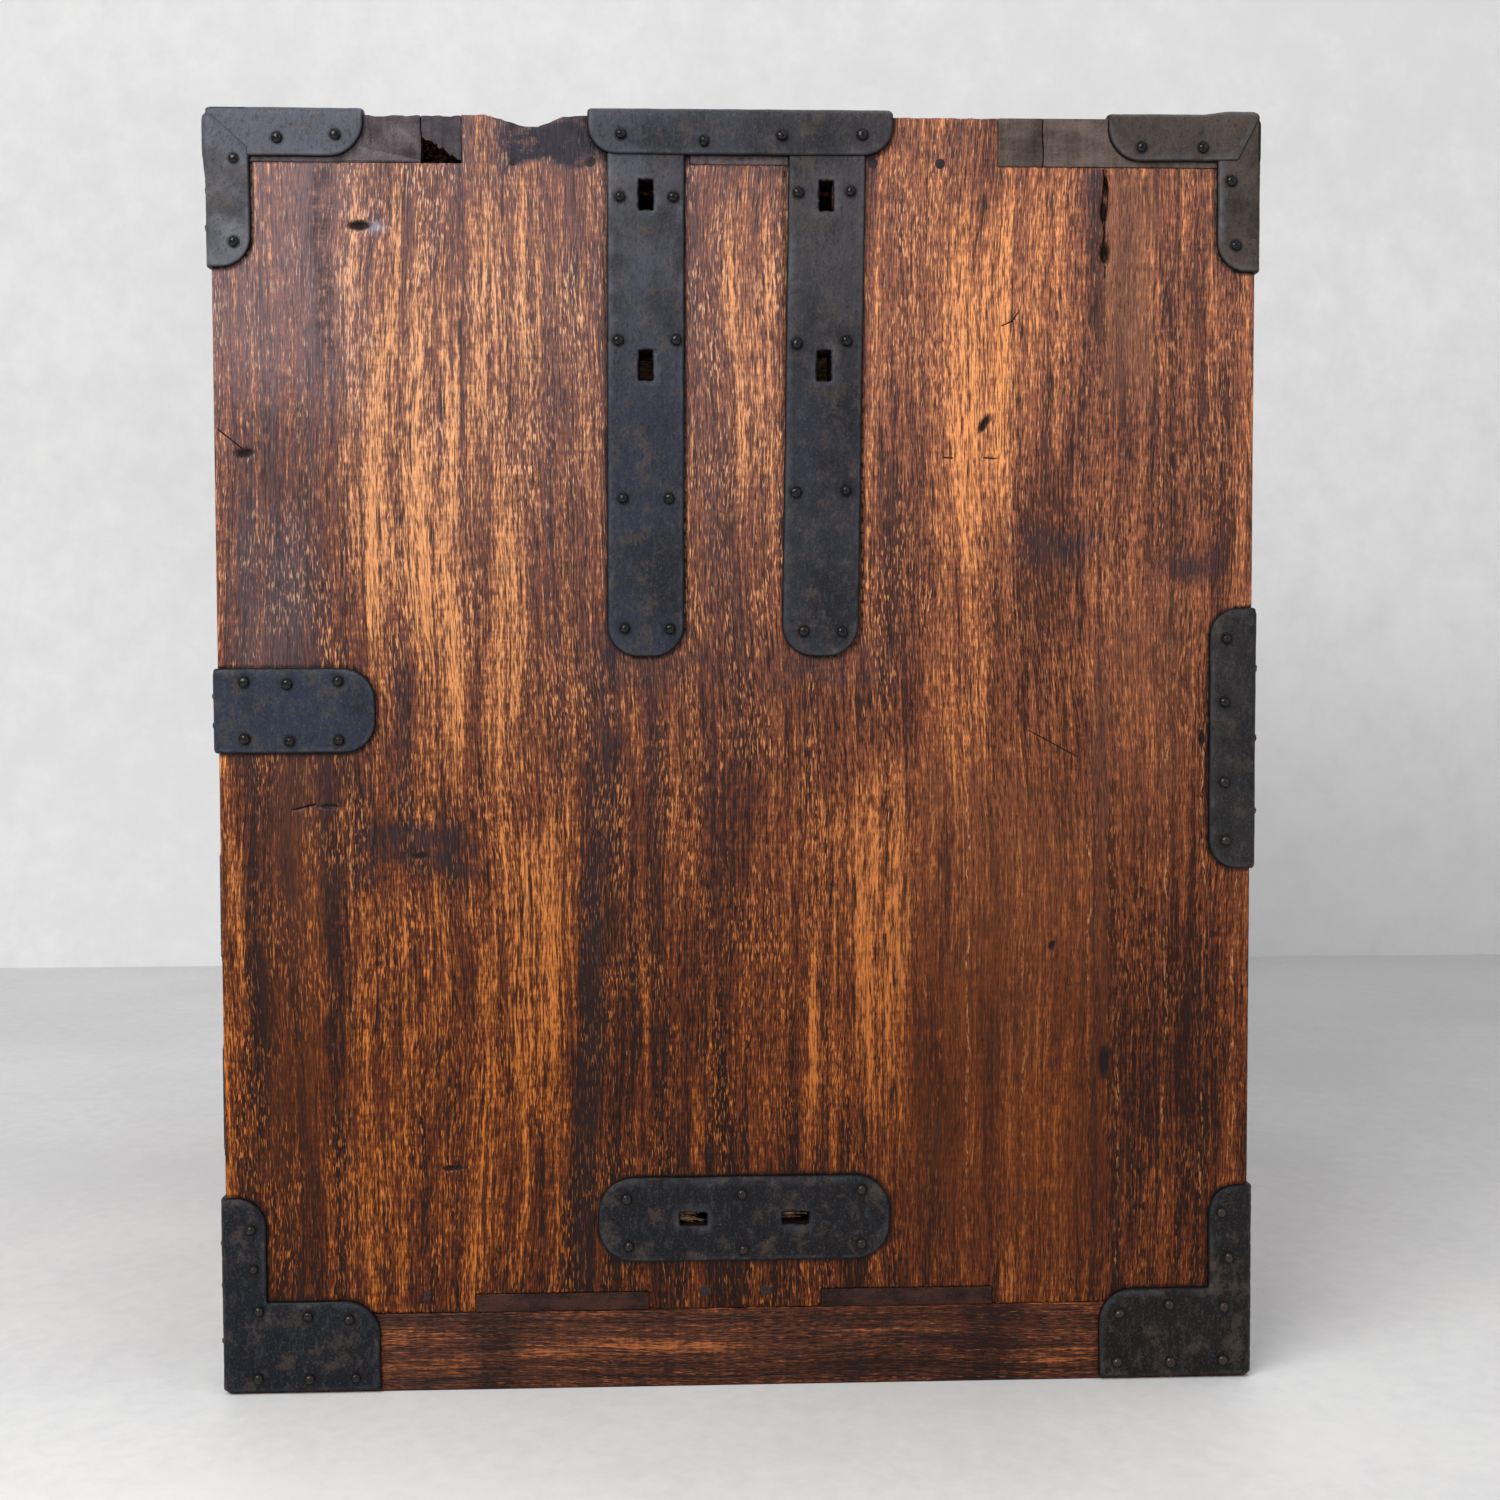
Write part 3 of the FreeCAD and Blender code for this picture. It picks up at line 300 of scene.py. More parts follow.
def triangles(points, loops):
    """Triangles over the points, which start with the loops' own, inside the first loop only."""
    found = delaunay_2d_cdt([Vector(p) for p in points], rim_edges(loops), [], 0, 1e-5)
    first = [origin[0] for origin in found[3]]
    faces = np.array([[first[v] for v in face] for face in found[2]])
    return faces[held(points[faces].mean(axis=1), loops)]


def wobble(points, size, seed):
    """Smooth noise from -1 to 1 at places on a plane; size is the length of its waves."""
    return np.array([noise.noise((a / size, b / size, seed)) for a, b in points])


def smoothed(mesh, degrees):
    """Shade a mesh smooth, but for edges where its faces meet at more than an angle."""
    mesh.shade_smooth()
    mesh.set_sharp_from_angle(angle=math.radians(degrees))


def new_piece(name, verts, faces, material, marks=None):
    """A mesh object from places in millimetres, with smooth faces and named marks on its points."""
    mesh = bpy.data.meshes.new(name)
    mesh.from_pydata([tuple(v) for v in np.asarray(verts) * 0.001], [], [tuple(f) for f in faces])
    shell = bmesh.new()
    shell.from_mesh(mesh)
    bmesh.ops.recalc_face_normals(shell, faces=shell.faces)
    shell.to_mesh(mesh)
    shell.free()
    for label, values in (marks or {}).items():
        mesh.attributes.new(label, "FLOAT", "POINT").data.foreach_set("value", values.astype(np.float32))
    mesh.materials.append(material)
    smoothed(mesh, 50)
    return in_scene(name, mesh)


def dress(piece, body, slot, *nodes):
    """Put a finished piece on its body, in the place of its CAD nodes."""
    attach(piece, body)
    if nodes:
        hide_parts(*nodes)
    return piece


def plate(loops, thickness, edge, spacing, place, relief=None, further=()):
    """A closed plate whose outer face has rounded edges and a relief.

    loops are the outline and the holes in millimetres on the plate's own plane; place turns
    places on that plane and heights over it into x, y, z. Returns points, faces and, for each
    point, the distance from the edge.
    """
    loops = [turned(loop, number == 0) for number, loop in enumerate(loops)]
    rim = np.array([point for loop in loops for point in loop])
    inner = [np.array(further).reshape(-1, 2)]
    for loop in loops:
        line = np.array(loop)
        ahead = np.roll(line, -1, axis=0) - np.roll(line, 1, axis=0)
        inward = np.stack([-ahead[:, 1], ahead[:, 0]], 1) / np.hypot(*ahead.T)[:, None]
        for share in (0.12, 0.38, 1.0):
            ring = line + inward * edge * share
            inner.append(ring[distance_to(ring, loops) > edge * share * 0.93])
    low, high = rim.min(0), rim.max(0)
    across, along = np.meshgrid(np.arange(low[0], high[0], spacing), np.arange(low[1], high[1], spacing))
    across[::2] += spacing / 2
    lattice = np.stack([across.ravel(), along.ravel()], 1)
    inner.append(lattice[distance_to(lattice, loops) > edge + spacing * 0.4])
    inner = np.concatenate(inner)
    points = np.concatenate([rim, inner[held(inner, loops)]])
    margin = distance_to(points, loops)
    margin[:len(rim)] = 0
    fall = edge - np.sqrt(np.clip(edge ** 2 - (edge - np.minimum(margin, edge)) ** 2, 0, None))
    heights = thickness - fall
    if relief is not None:
        heights = heights + relief(points) * np.clip(margin / edge / 1.5, 0, 1)
    outer = triangles(points, loops)
    flat = triangles(rim, loops) + len(points)
    verts = np.concatenate([place(points, heights), place(rim, np.zeros(len(rim)))])
    faces = [tuple(f) for f in outer] + [tuple(f[::-1]) for f in flat]
    faces += [(a, a + len(points), b + len(points), b) for a, b in rim_edges(loops)]
    return verts, faces, np.concatenate([margin, np.zeros(len(rim))])


# The chest's outer faces and the side boards' thickness, in millimetres.
SIDE_X, FRONT_Y, TOP_Z = 300.0, -228.0, 561.0
SIDE_THICK = 20
EDGE_ROUND = 1.2  # How wide the rounds are at the edges of the side boards and the irons.


def side_face(side, start):
    """Places on the right (1) or left (-1) side: a is y, b is z and heights point outward."""
    return lambda points, heights: np.stack([(start + heights) * side, points[:, 0], points[:, 1]], 1)


# Wear of the right side's face: dents as (y, z, half width, half height, depth, lean), and
# cracks as runs of (y, z) with a width and a depth. Front edge at y = -228.
BROAD_DENT = 12  # Dents at least this high are soft hollows with no mark of a break.
DENTS = [
    (-164.5, 513, 6.2, 2.4, 1.5, 0), (-215, 415, 4.5, 2.2, 1.6, 0.5), (-180, 261, 5.5, 1.1, 1, -0.05),
    (-141, 239, 4, 1.7, 0.8, 0), (-128, 100, 6, 1.3, 0.9, 0.1), (108, 428, 2.2, 4.5, 1.1, 0.5),
    (139, 197, 1.6, 2.4, 0.8, 0.3), (162.8, 144, 2.8, 8.5, 1.3, 0), (206, 289, 1.6, 4, 1, 0),
    (161.4, 503, 2.3, 5.2, 4, 0), (161.6, 532, 1.5, 5.6, 2.4, 0), (160.8, 521, 1.7, 5.8, 2.4, 0),
    (-40, 333, 9, 20, 0.5, 0.1), (60, 210, 22, 60, 0.4, 0), (-100, 140, 14, 70, 0.5, 0),
    (150, 350, 25, 40, 0.45, 0.2), (-190, 180, 16, 60, 0.4, 0),
]
CRACKS = [
    ([(160.2, 539), (162.8, 531), (162.3, 522), (161.2, 515), (160.8, 507)], 0.6, 1.2),
    ([(160.6, 530), (159.8, 520), (160.9, 513)], 0.5, 1), ([(161.4, 497), (161.2, 492)], 0.5, 0.6),
    ([(116, 471), (120.5, 473), (123, 477)], 0.5, 0.6), ([(-216, 417), (-226, 425)], 0.5, 0.6),
    ([(-186, 262), (-196, 259.5)], 0.6, 0.8), ([(90, 413.3), (94, 413)], 0.6, 0.5),
    ([(108, 413.2), (113, 412.8)], 0.6, 0.5), ([(128, 293), (150, 281)], 0.4, 0.4),
]
TOP_EDGE = [
    (-120, 561), (-116, 560.6), (-110, 560.9), (-107, 560.2), (-103, 559.2), (-99, 557.8), (-95, 556.6),
    (-91, 555.9), (-87.5, 555.8), (-84, 556.9), (-80, 558.8), (-76, 560.2), (-68, 560.8), (-55, 560.4),
    (-40, 560.8), (-21, 561),
]


def face_wear(points):
    """Depth of wear at places on the right side's face, and how much of it is a broken mark."""
    depth, mark = np.zeros(len(points)), np.zeros(len(points))
    for y, z, half_y, half_z, deep, lean in DENTS:
        a = (points[:, 0] - y - (points[:, 1] - z) * lean) / half_y
        b = (points[:, 1] - z) / half_z
        bowl = np.exp(-(a ** 2 + b ** 2) ** 1.3)
        depth += bowl * deep
        if half_z < BROAD_DENT:
            mark = np.maximum(mark, bowl)
    for run, width, deep in CRACKS:
        groove = np.clip(1 - run_distance(points, run) / width, 0, 1)
        depth += groove * deep
        mark = np.maximum(mark, groove)
    return depth, mark


def beside(line, share, off):
    """A place off a straight line of length over nought, at a share of the way along it."""
    (a, b), (c, d) = line
    length = math.hypot(c - a, d - b)
    return a + (c - a) * share + off * (d - b) / length, b + (d - b) * share - off * (c - a) / length


def spots():
    """Closer points where the right side's face is dented or cracked."""
    random.seed(4)
    places = []
    for y, z, half_y, half_z, _, lean in DENTS:
        if half_z < BROAD_DENT:
            step = min(half_y, half_z) / 2.5
            for a in np.arange(-1.6, 1.6, step / half_y):
                for b in np.arange(-1.6, 1.6, step / half_z):
                    places.append((y + a * half_y + b * half_z * lean + random.uniform(-0.1, 0.1),
                                   z + b * half_z + random.uniform(-0.1, 0.1)))
    for run, width, _ in CRACKS:
        for line in zip(run[:-1], run[1:]):
            length = math.dist(*line)
            for i in range(int(length / 0.8) + 1):
                for off in (-1.1, -0.5, 0, 0.5, 1.1):
                    y, z = beside(line, i * 0.8 / length, off * width)
                    places.append((y + random.uniform(-0.05, 0.05), z))
    return places


def merged(node):
    """A CAD node's mesh with its loose triangles joined and its flat faces made whole."""
    shell = bmesh.new()
    shell.from_mesh(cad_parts[node].data)
    bmesh.ops.remove_doubles(shell, verts=shell.verts, dist=1e-6)
    bmesh.ops.dissolve_limit(shell, angle_limit=math.radians(0.5), verts=shell.verts, edges=shell.edges)
    return shell


iron_feet = []
for iron in ("top_front_corner_iron", "top_back_corner_iron", "bottom_front_corner_iron",
             "bottom_back_corner_iron", "saddle_plate", "front_strap", "back_strap", "mid_band",
             "back_edge_bracket", "lower_plate"):
    shell = merged(f"right_{iron}")
    for line in shell.edges:
        ends = [vert.co * 1000 for vert in line.verts]
        if all(abs(end.x - SIDE_X) < 0.06 for end in ends):
            iron_feet.append([(end.y, end.z) for end in ends])
    shell.free()


def iron_edge_shade_and_dirt(points):
    """How dark a line of painted shade and dirt is at places beside the irons' edges."""
    best = np.full(len(points), 1e9)
    for line in iron_feet:
        best = np.minimum(best, run_distance(points, line))
    return np.exp(-(best / 1.3) ** 1.2)


def beside_irons():
    """Closer points beside the irons' edges."""
    places = []
    for line in iron_feet:
        length = math.dist(*line)
        if length > 0.4:
            shares = np.arange(0.5, length / 1.6 + 0.5) * 1.6 / length
            places += [beside(line, share, off)
                       for share in shares[shares < 1] for off in (-2.4, -0.9, 0.9, 2.4)]
    return places


# The side's slots as y and z of the middle, width and height: two in each strap, two in the low plate.
SLOTS = [
    (-40.3, 526.5, 6.4, 13.2), (-40.7, 453, 6.4, 13.2), (38.3, 526.5, 6.4, 13.2), (37.2, 453, 6.4, 13.2),
    (-21.55, 76, 12.2, 5.7), (23.95, 76, 12.2, 5.7),
]


def slot_loop(y, z, width, height, seed):
    """A slot's rim, a little ragged inward."""
    half_y, half_z = width / 2 - 0.25, height / 2 - 0.25
    rim = walk([(y - half_y, z - half_z), (y + half_y, z - half_z), (y + half_y, z + half_z),
                (y - half_y, z + half_z)], 1.4)
    random.seed(seed)
    return [(a + random.uniform(-0.25, 0.25), b + random.uniform(-0.25, 0.25)) for a, b in rim]


def side_loops(top_edge, seed, slot_seed):
    """The board's outline, with its notches for the tongues of the top and bottom boards, and its slots."""
    corners = [(-228, 35), (-118.5, 35), (-118.5, 43), (-41.5, 43), (-41.5, 35), (35.5, 35), (35.5, 43),
               (112.5, 43), (112.5, 35), (228, 35), (228, 540), (114, 540), (114, 561), (22, 561),
               (22, 540), (-21, 540)]
    corners += top_edge[::-1] + [(-120, 540), (-228, 540)]
    random.seed(seed)
    outline = [(y, z + random.uniform(-0.25, 0.15) if z > 550 else z) for y, z in walk(corners, 3.0)]
    return [outline] + [slot_loop(*slot, slot_seed + number) for number, slot in enumerate(SLOTS)]


def node_group(name, kind, inputs, outputs):
    """A node group with named sockets by kind; gives it, what comes in and where its results go."""
    group = bpy.data.node_groups.new(name, kind)
    for way, sockets in (("INPUT", inputs), ("OUTPUT", outputs)):
        for socket_kind, labels in sockets:
            for label in labels:
                group.interface.new_socket(label, in_out=way, socket_type=f"NodeSocket{socket_kind}")
    return group, group.nodes.new("NodeGroupInput").outputs, group.nodes.new("NodeGroupOutput").inputs


# One soft-edged patch in y and z, added to the sum of those before it.
soft_patch, given, out = node_group(
    "soft_patch", "ShaderNodeTree",
    [("Vector", ["Place"]),
     ("Float", ["Y", "Z", "Half Y", "Half Z", "Lean", "Softness", "Strength", "So Far"])],
    [("Float", ["Sum"])])
axes = axes_of(given["Place"])
off_z = calc("SUBTRACT", axes["Z"], given["Z"])
off_y = calc("SUBTRACT", calc("SUBTRACT", axes["Y"], given["Y"]), times(off_z, given["Lean"]))
shares = []
for off, half in ((off_y, given["Half Y"]), (off_z, given["Half Z"])):
    share = calc("DIVIDE", calc("ABSOLUTE", off), half)
    shares.append(fade(share, calc("SUBTRACT", 1.0, given["Softness"]),
                       calc("ADD", 1.0, given["Softness"]), 1.0, 0.0))
patch = times(*shares)
soft_patch.links.new(calc("MULTIPLY_ADD", patch, given["Strength"], given["So Far"]), out["Sum"])


def centred(value, weight):
    """Noise moved to both sides of nought and given a weight."""
    return times(calc("SUBTRACT", value, 0.5), weight)


# Worn lacquer over open grain. Place has x across the grain, y along it and z into the board.
timber, given, out = node_group(
    "worn_timber", "ShaderNodeTree",
    [("Vector", ["Place"]), ("Float", ["Wear", "Painted_Sheen", "Flecks"]), ("Color", ["Dark", "Middle", "Bright"])],
    [("Color", ["Colour"]), ("Float", ["Roughness", "Height"])])
slow = grainy(given["Place"], (7, 3.2, 3), 2.0, 0.5)
quick_bend = grainy(given["Place"], (55, 18, 20), 1.0, 0.5)
sway = calc("ADD", centred(slow, 0.022), centred(quick_bend, 0.0028))
sideways = add(timber, "ShaderNodeCombineXYZ", {"X": sway}).outputs[0]
grain = vector_calc("ADD", given["Place"], sideways)
streaks, bands, fibres, ticks, ripple, pores, specks, clumps, splits, breaks, rows = (
    grainy(grain, *form) for form in (
        ((48, 3.0, 40), 2.0, 0.6), ((120, 4.5, 90), 3.0, 0.62), ((640, 15, 480), 3.0, 0.7),
        ((1450, 185, 1200), 2.0, 0.65), ((130, 560, 130), 1.0, 0.5), ((1700, 100, 1400), 1.0, 0.4),
        ((1700, 200, 1500), 1.0, 0.5), ((70, 18, 60), 2.0, 0.6), ((135, 2.6, 110), 3.0, 0.65),
        ((170, 60, 150), 2.0, 0.6), ((210, 2.2, 170), 2.0, 0.6)))


def off_middle(value):
    """How far noise is from its middle; near nought it makes thin lines."""
    return calc("ABSOLUTE", calc("SUBTRACT", value, 0.5))


broad = times(given["Wear"], 0.85)
for value, weight in ((streaks, 1.1), (bands, 3.4)):
    broad = calc("ADD", broad, centred(value, weight))
value = broad
for finer, weight in ((fibres, 3.6), (ticks, 2.8), (ripple, 0.8)):
    value = calc("ADD", value, centred(finer, weight))
body = mix(fade(value, -0.75, 0.2), given["Dark"], given["Middle"])
body = mix(fade(value, 0.15, 1.35), body, given["Bright"])
shaded = mix(fade(ticks, 0.3, 0.66), colour(212, 205, 202), colour(255, 255, 255))
body = mix(1.0, body, shaded, "MULTIPLY")
clumped = times(fade(clumps, 0.42, 0.62), given["Flecks"])
in_row = fade(off_middle(rows), 0.004, 0.018, 0.8, 0.0)
pale = times(fade(specks, 0.56, 0.64), calc("MAXIMUM", clumped, in_row))
pale = times(pale, fade(broad, -1.6, 0.2, 0.4, 0.85))
# Pale flecks, turned creamier where sheen is painted.
body = mix(pale, body, mix(given["Painted_Sheen"], given["Bright"], colour(255, 226, 196)))
pore = times(fade(pores, 0.57, 0.69), 0.75)
split = fade(off_middle(splits), 0.003, 0.016, 0.92, 0.0)
split = times(split, fade(breaks, 0.4, 0.54))
open_grain = calc("MAXIMUM", pore, split)
body = mix(open_grain, body, colour(32, 16, 13))
# Painted sheen: a pale grey-pink laid over the wood, as the lacquer would reflect the light.
body = mix(times(given["Painted_Sheen"], 0.5), body, colour(160, 144, 152))
shown = fade(value, -0.6, 1.0)
timber.links.new(body, out["Colour"])
timber.links.new(calc("MULTIPLY_ADD", shown, 0.14, 0.38), out["Roughness"])
timber.links.new(calc("MULTIPLY_ADD", open_grain, -1.4, shown), out["Height"])


def grain_place(tree, across, along, deep, shift):
    """Object coordinates turned so that the grain runs along y, and moved to another part of the tree."""
    axes = axes_of(object_place(tree))
    place = add(tree, "ShaderNodeCombineXYZ", {"X": axes[across], "Y": axes[along], "Z": axes[deep]})
    return vector_calc("ADD", place.outputs[0], shift)


def painted(tree, label):
    """The values of a named mark on the mesh's points."""
    return add(tree, "ShaderNodeAttribute", attribute_name=label).outputs["Fac"]


def bumped(shader, height, strength, distance):
    """Give a shader its fine relief."""
    bump = add(shader.id_data, "ShaderNodeBump",
               {"Strength": strength, "Distance": distance, "Height": height})
    shader.id_data.links.new(bump.outputs[0], shader.inputs["Normal"])


# Rubbed (+) and dark (-) areas of the right side: y and z of the middle, half width, half
# height, lean, softness and strength, in millimetres.
RIGHT_AREAS = [
    (-150, 425, 24, 95, 0, 0.35, 0.85), (195, 430, 20, 60, 0, 0.5, -0.3),
    (-110, 390, 18, 120, 0.02, 0.35, 0.75), (-82, 430, 12, 95, 0, 0.5, 0.25),
    (-152, 135, 22, 100, 0, 0.3, 0.45), (-97, 155, 24, 100, 0.03, 0.2, 0.62),
    (-88, 190, 10, 50, 0.04, 0.4, 0.35), (7, 460, 14, 65, 0, 0.5, 0.6), (62, 465, 12, 55, 0, 0.6, 0.35),
    (105, 450, 16, 70, 0, 0.5, 1.2), (134, 480, 14, 55, 0, 0.6, 0.5), (64, 238, 13, 50, 0, 0.5, 0.55),
    (46, 190, 30, 72, 0, 0.35, 0.5), (112, 250, 38, 55, 0, 0.6, 0.2), (-224, 160, 5, 110, 0, 0.5, 0.7),
    (208, 500, 12, 40, 0, 0.6, 0.35), (224, 330, 4, 180, 0, 0.5, 0.5), (-196, 165, 22, 130, 0, 0.25, -0.55),
    (-196, 340, 22, 45, 0, 0.4, -0.4), (-197, 480, 24, 60, 0, 0.5, -0.15),
    (-66, 180, 6, 150, 0.045, 0.5, -0.75), (-35, 200, 32, 120, 0.03, 0.4, -0.2),
    (-140, 241, 26, 12, 0, 0.5, -0.7), (120, 130, 50, 80, 0, 0.5, -0.1), (200, 240, 26, 160, 0, 0.4, -0.25),
    (160, 470, 9, 75, 0, 0.5, -0.35), (140, 376, 22, 10, 0, 0.7, -0.4), (200, 365, 14, 9, 0, 0.7, -0.5),
    (-30, 60, 90, 40, 0, 0.5, -0.4), (135, 185, 20, 16, 0, 0.7, -0.4), (-85, 549, 18, 8, 0, 0.5, -1),
]

# Slate-grey stains, smooth brown areas, areas with few pale flecks, painted pale sheen and rows
# of flecks in the same terms.
RIGHT_STAINS = [
    (-79, 552, 24, 9, 0, 0.3, 1.4), (-193.4, 44.8, 2.4, 2.4, 0, 0.2, 1.4), (-180, 500, 5, 48, 0, 0.5, 0.7),
    (-141, 240, 24, 8, 0, 0.6, 0.75), (140, 376, 18, 8, 0, 0.7, 0.55), (202, 365, 12, 8, 0, 0.7, 0.6),
    (-66, 150, 5, 140, 0.04, 0.6, 0.45), (-205, 380, 14, 40, 0, 0.7, 0.4), (156, 528, 4, 11, 0, 0.6, 0.7),
    (215, 515, 9, 22, 0, 0.5, 0.4), (-2, 548, 18, 8, 0, 0.6, 0.5), (68, 552, 40, 6, 0, 0.6, 0.3),
    (-60, 330, 10, 14, 0.1, 0.7, 0.3), (38, 322, 26, 8, 0, 0.6, 0.55), (-40, 322, 24, 8, 0, 0.6, 0.5),
    (124, 163, 12, 20, 0.2, 0.7, 0.25), (157.6, 180, 0.7, 120, 0, 0.4, 0.6),
]
RIGHT_SMOOTH = [
    (173, 488, 11, 50, 0, 0.35, 0.75), (117, 160, 42, 105, 0, 0.35, 0.5), (180, 300, 20, 60, 0, 0.6, 0.35),
    (-196, 180, 12, 100, 0, 0.5, 0.35), (161, 190, 2.4, 125, 0, 0.3, 0.6),
]
RIGHT_CALM = [
    (117, 180, 42, 125, 0, 0.15, 0.75), (165, 440, 55, 120, 0, 0.4, 0.5), (-205, 480, 22, 80, 0, 0.5, 0.6),
    (195, 180, 34, 130, 0, 0.4, 0.35),
]
RIGHT_PAINTED_SHEEN = [(-200, 500, 34, 62, 0, 0.5, 0.3), (-205, 350, 16, 40, 0, 0.6, 0.2)]
RIGHT_ROWS = [
    (101, 190, 0.5, 110, 0.004, 0.6, 0.9), (126, 150, 0.4, 80, -0.01, 0.6, 0.6),
    (155.8, 200, 0.5, 60, 0, 0.6, 0.8), (168.5, 105, 0.5, 60, 0, 0.6, 0.9),
    (190, 210, 0.6, 130, 0.006, 0.6, 0.8), (207, 180, 0.5, 110, 0, 0.6, 0.8),
    (221, 190, 0.6, 120, 0, 0.6, 0.8), (119, 430, 0.5, 90, 0, 0.6, 0.7),
    (-172, 160, 0.5, 110, 0.01, 0.6, 0.8),
]


def areas_sum(place, areas, start=0.0):
    """The sum of soft patches over areas given as in the lists above."""
    total = start
    for *millimetres, lean, softness, strength in areas:
        y, z, half_y, half_z = (value * 0.001 for value in millimetres)
        total = add(place.id_data, "ShaderNodeGroup", {
            "Place": place, "Y": y, "Z": z, "Half Y": half_y, "Half Z": half_z, "Lean": lean,
            "Softness": softness, "Strength": strength, "So Far": total}, node_tree=soft_patch).outputs["Sum"]
    return total


right_wood, tree, shader = new_material("right_side_lacquer", 0.45, 0.16)
place = object_place(tree)
ragged = add(tree, "ShaderNodeTexNoise", {"Vector": place, "Scale": 38.0, "Detail": 4.0}).outputs["Color"]
ragged = vector_calc("SUBTRACT", ragged, (0.5, 0.5, 0.5))
ragged = vector_calc("ADD", place, vector_calc("MULTIPLY", ragged, (0.0, 0.012, 0.05)))
axes = axes_of(place)
# Towards the top every tone turns lighter and greyer: painted sheen of the light from the upper front.
painted_light_above = fade(axes["Z"], 0.12, 0.46)
backward = fade(axes["Y"], -0.06, 0.12)
# A painted sheen, strongest high at the front, added to the areas of it listed above.
painted_sheen = times(fade(axes["Z"], 0.25, 0.56), fade(axes["Y"], -0.06, 0.12, 0.3, 0.1))
mixed = add(tree, "ShaderNodeGroup", {
    "Place": grain_place(tree, "Y", "Z", "X", (0, 0, 0)),
    "Wear": areas_sum(ragged, RIGHT_AREAS, -0.12),
    "Flecks": calc("SUBTRACT", 1.0, areas_sum(ragged, RIGHT_CALM), clamp=True),
    "Painted_Sheen": areas_sum(ragged, RIGHT_PAINTED_SHEEN, painted_sheen)}, node_tree=timber)
for label, corners in {
    "Dark": ((34, 14, 7), (40, 14, 5), (78, 54, 54), (84, 48, 36)),
    "Middle": ((98, 44, 15), (104, 48, 17), (128, 76, 56), (156, 92, 62)),
    "Bright": ((196, 114, 46), (180, 104, 48), (238, 166, 108), (246, 162, 98)),
}.items():
    low_front, low_back, high_front, high_back = (colour(*corner) for corner in corners)
    low, high = mix(backward, low_front, low_back), mix(backward, high_front, high_back)
    tree.links.new(mix(painted_light_above, low, high), mixed.inputs[label])
figure = fade(grainy(ragged, (60, 60, 8), 3.0, 0.6), 0.36, 0.64)
polished = mix(painted_light_above, mix(figure, colour(72, 31, 5), colour(118, 57, 12)),
               mix(figure, colour(114, 78, 64), colour(148, 98, 76)))
dashes = fade(grainy(place, (1000, 1300, 170), 2.0, 0.6), 0.5, 0.62, 0.0, 0.6)
wood = mix(times(areas_sum(ragged, RIGHT_SMOOTH), 0.85, clamp=True),
           mixed.outputs["Colour"], mix(dashes, polished, colour(40, 20, 14)))
blots = fade(grainy(place, (160, 70, 160), 4.0, 0.7), 0.35, 0.6, 0.35, 1.0)
stain = times(areas_sum(ragged, RIGHT_STAINS), blots, clamp=True)
wood = mix(stain, wood, mix(painted_light_above, colour(42, 27, 26), colour(50, 47, 56)))
sway = centred(grainy(place, (3, 40, 28), 3.0, 0.6), 0.009)
swayed = vector_calc("ADD", place, add(tree, "ShaderNodeCombineXYZ", {"Y": sway}).outputs[0])
flecked = fade(grainy(place, (1500, 1500, 300), 1.0, 0.5), 0.48, 0.58)
in_rows = times(areas_sum(swayed, RIGHT_ROWS), flecked, clamp=True)
in_rows = times(in_rows, fade(grainy(place, (30, 90, 45), 2.0, 0.6), 0.42, 0.58, 0.1, 0.75))
wood = mix(in_rows, wood, mix(painted_light_above, colour(206, 140, 84), colour(244, 190, 140)))
# A painted highlight: pale bluish light on the lit side of one dent.
wood = mix(painted(tree, "painted_dent_highlight"), wood, colour(150, 152, 172))
# Dark marks of breaks and cracks, with painted shade and dirt beside the irons and painted shade inside the
# slots.
wood = mix(fade(painted(tree, "mark"), 0.15, 0.8), wood, colour(30, 17, 16))
tree.links.new(wood, shader.inputs["Base Color"])
tree.links.new(mixed.outputs["Roughness"], shader.inputs["Roughness"])
bumped(shader, mixed.outputs["Height"], 0.55, 0.0007)


def right_relief(points):
    """Slow waves of an old board and the marks on it."""
    return wobble(points, 90, 1.7) * 0.35 - face_wear(points)[0]


def settled(piece):
    """The piece with its modifiers worked into its mesh."""
    graph = bpy.context.evaluated_depsgraph_get()
    mesh = bpy.data.meshes.new_from_object(piece.evaluated_get(graph))
    piece.modifiers.clear()
    piece.data = mesh
    return piece


def bitten(piece, cutter):
    """The piece with the cutter's shape broken out of it; new faces take the cutter's finish."""
    bite = piece.modifiers.new("bite", "BOOLEAN")
    bite.operation, bite.object, bite.solver, bite.material_mode = "DIFFERENCE", cutter, "EXACT", "TRANSFER"
    settled(piece)
    bpy.data.objects.remove(cutter)
    return piece


INNER_X = SIDE_X - SIDE_THICK
# Grooves in the inner faces of the right (1) and left (-1) side, as y from and to, z from and to,
# and depth: one for the back planks, the rest for shelves.
GROOVES = {1: [(216, 229, 51, 531, 10), (-229, 216.4, 292, 314, 5)],
           -1: [(216, 229, 51, 531, 10), (-229, 216.4, 292, 314, 5), (-229, 216.4, 164.5, 178.5, 5)]}


def prism(name, outline, near, far, wood):
    """A solid with an outline in y and z, between two places on x."""
    count = len(outline)
    verts = [(x, y, z) for x in (near, far) for y, z in outline]
    faces = [tuple(range(count)), tuple(range(2 * count - 1, count - 1, -1))]
    faces += [(i, i + count, (i + 1) % count + count, (i + 1) % count) for i in range(count)]
    return new_piece(name, verts, faces, wood)


def housed(board, side, wood):
    """The board with its grooves cut."""
    for y_low, y_high, z_low, z_high, depth in GROOVES[side]:
        outline = [(y_low, z_low), (y_high, z_low), (y_high, z_high), (y_low, z_high)]
        bitten(board, prism("groove", outline, (INNER_X - 2) * side, (INNER_X + depth) * side, wood))
    smoothed(board.data, 50)


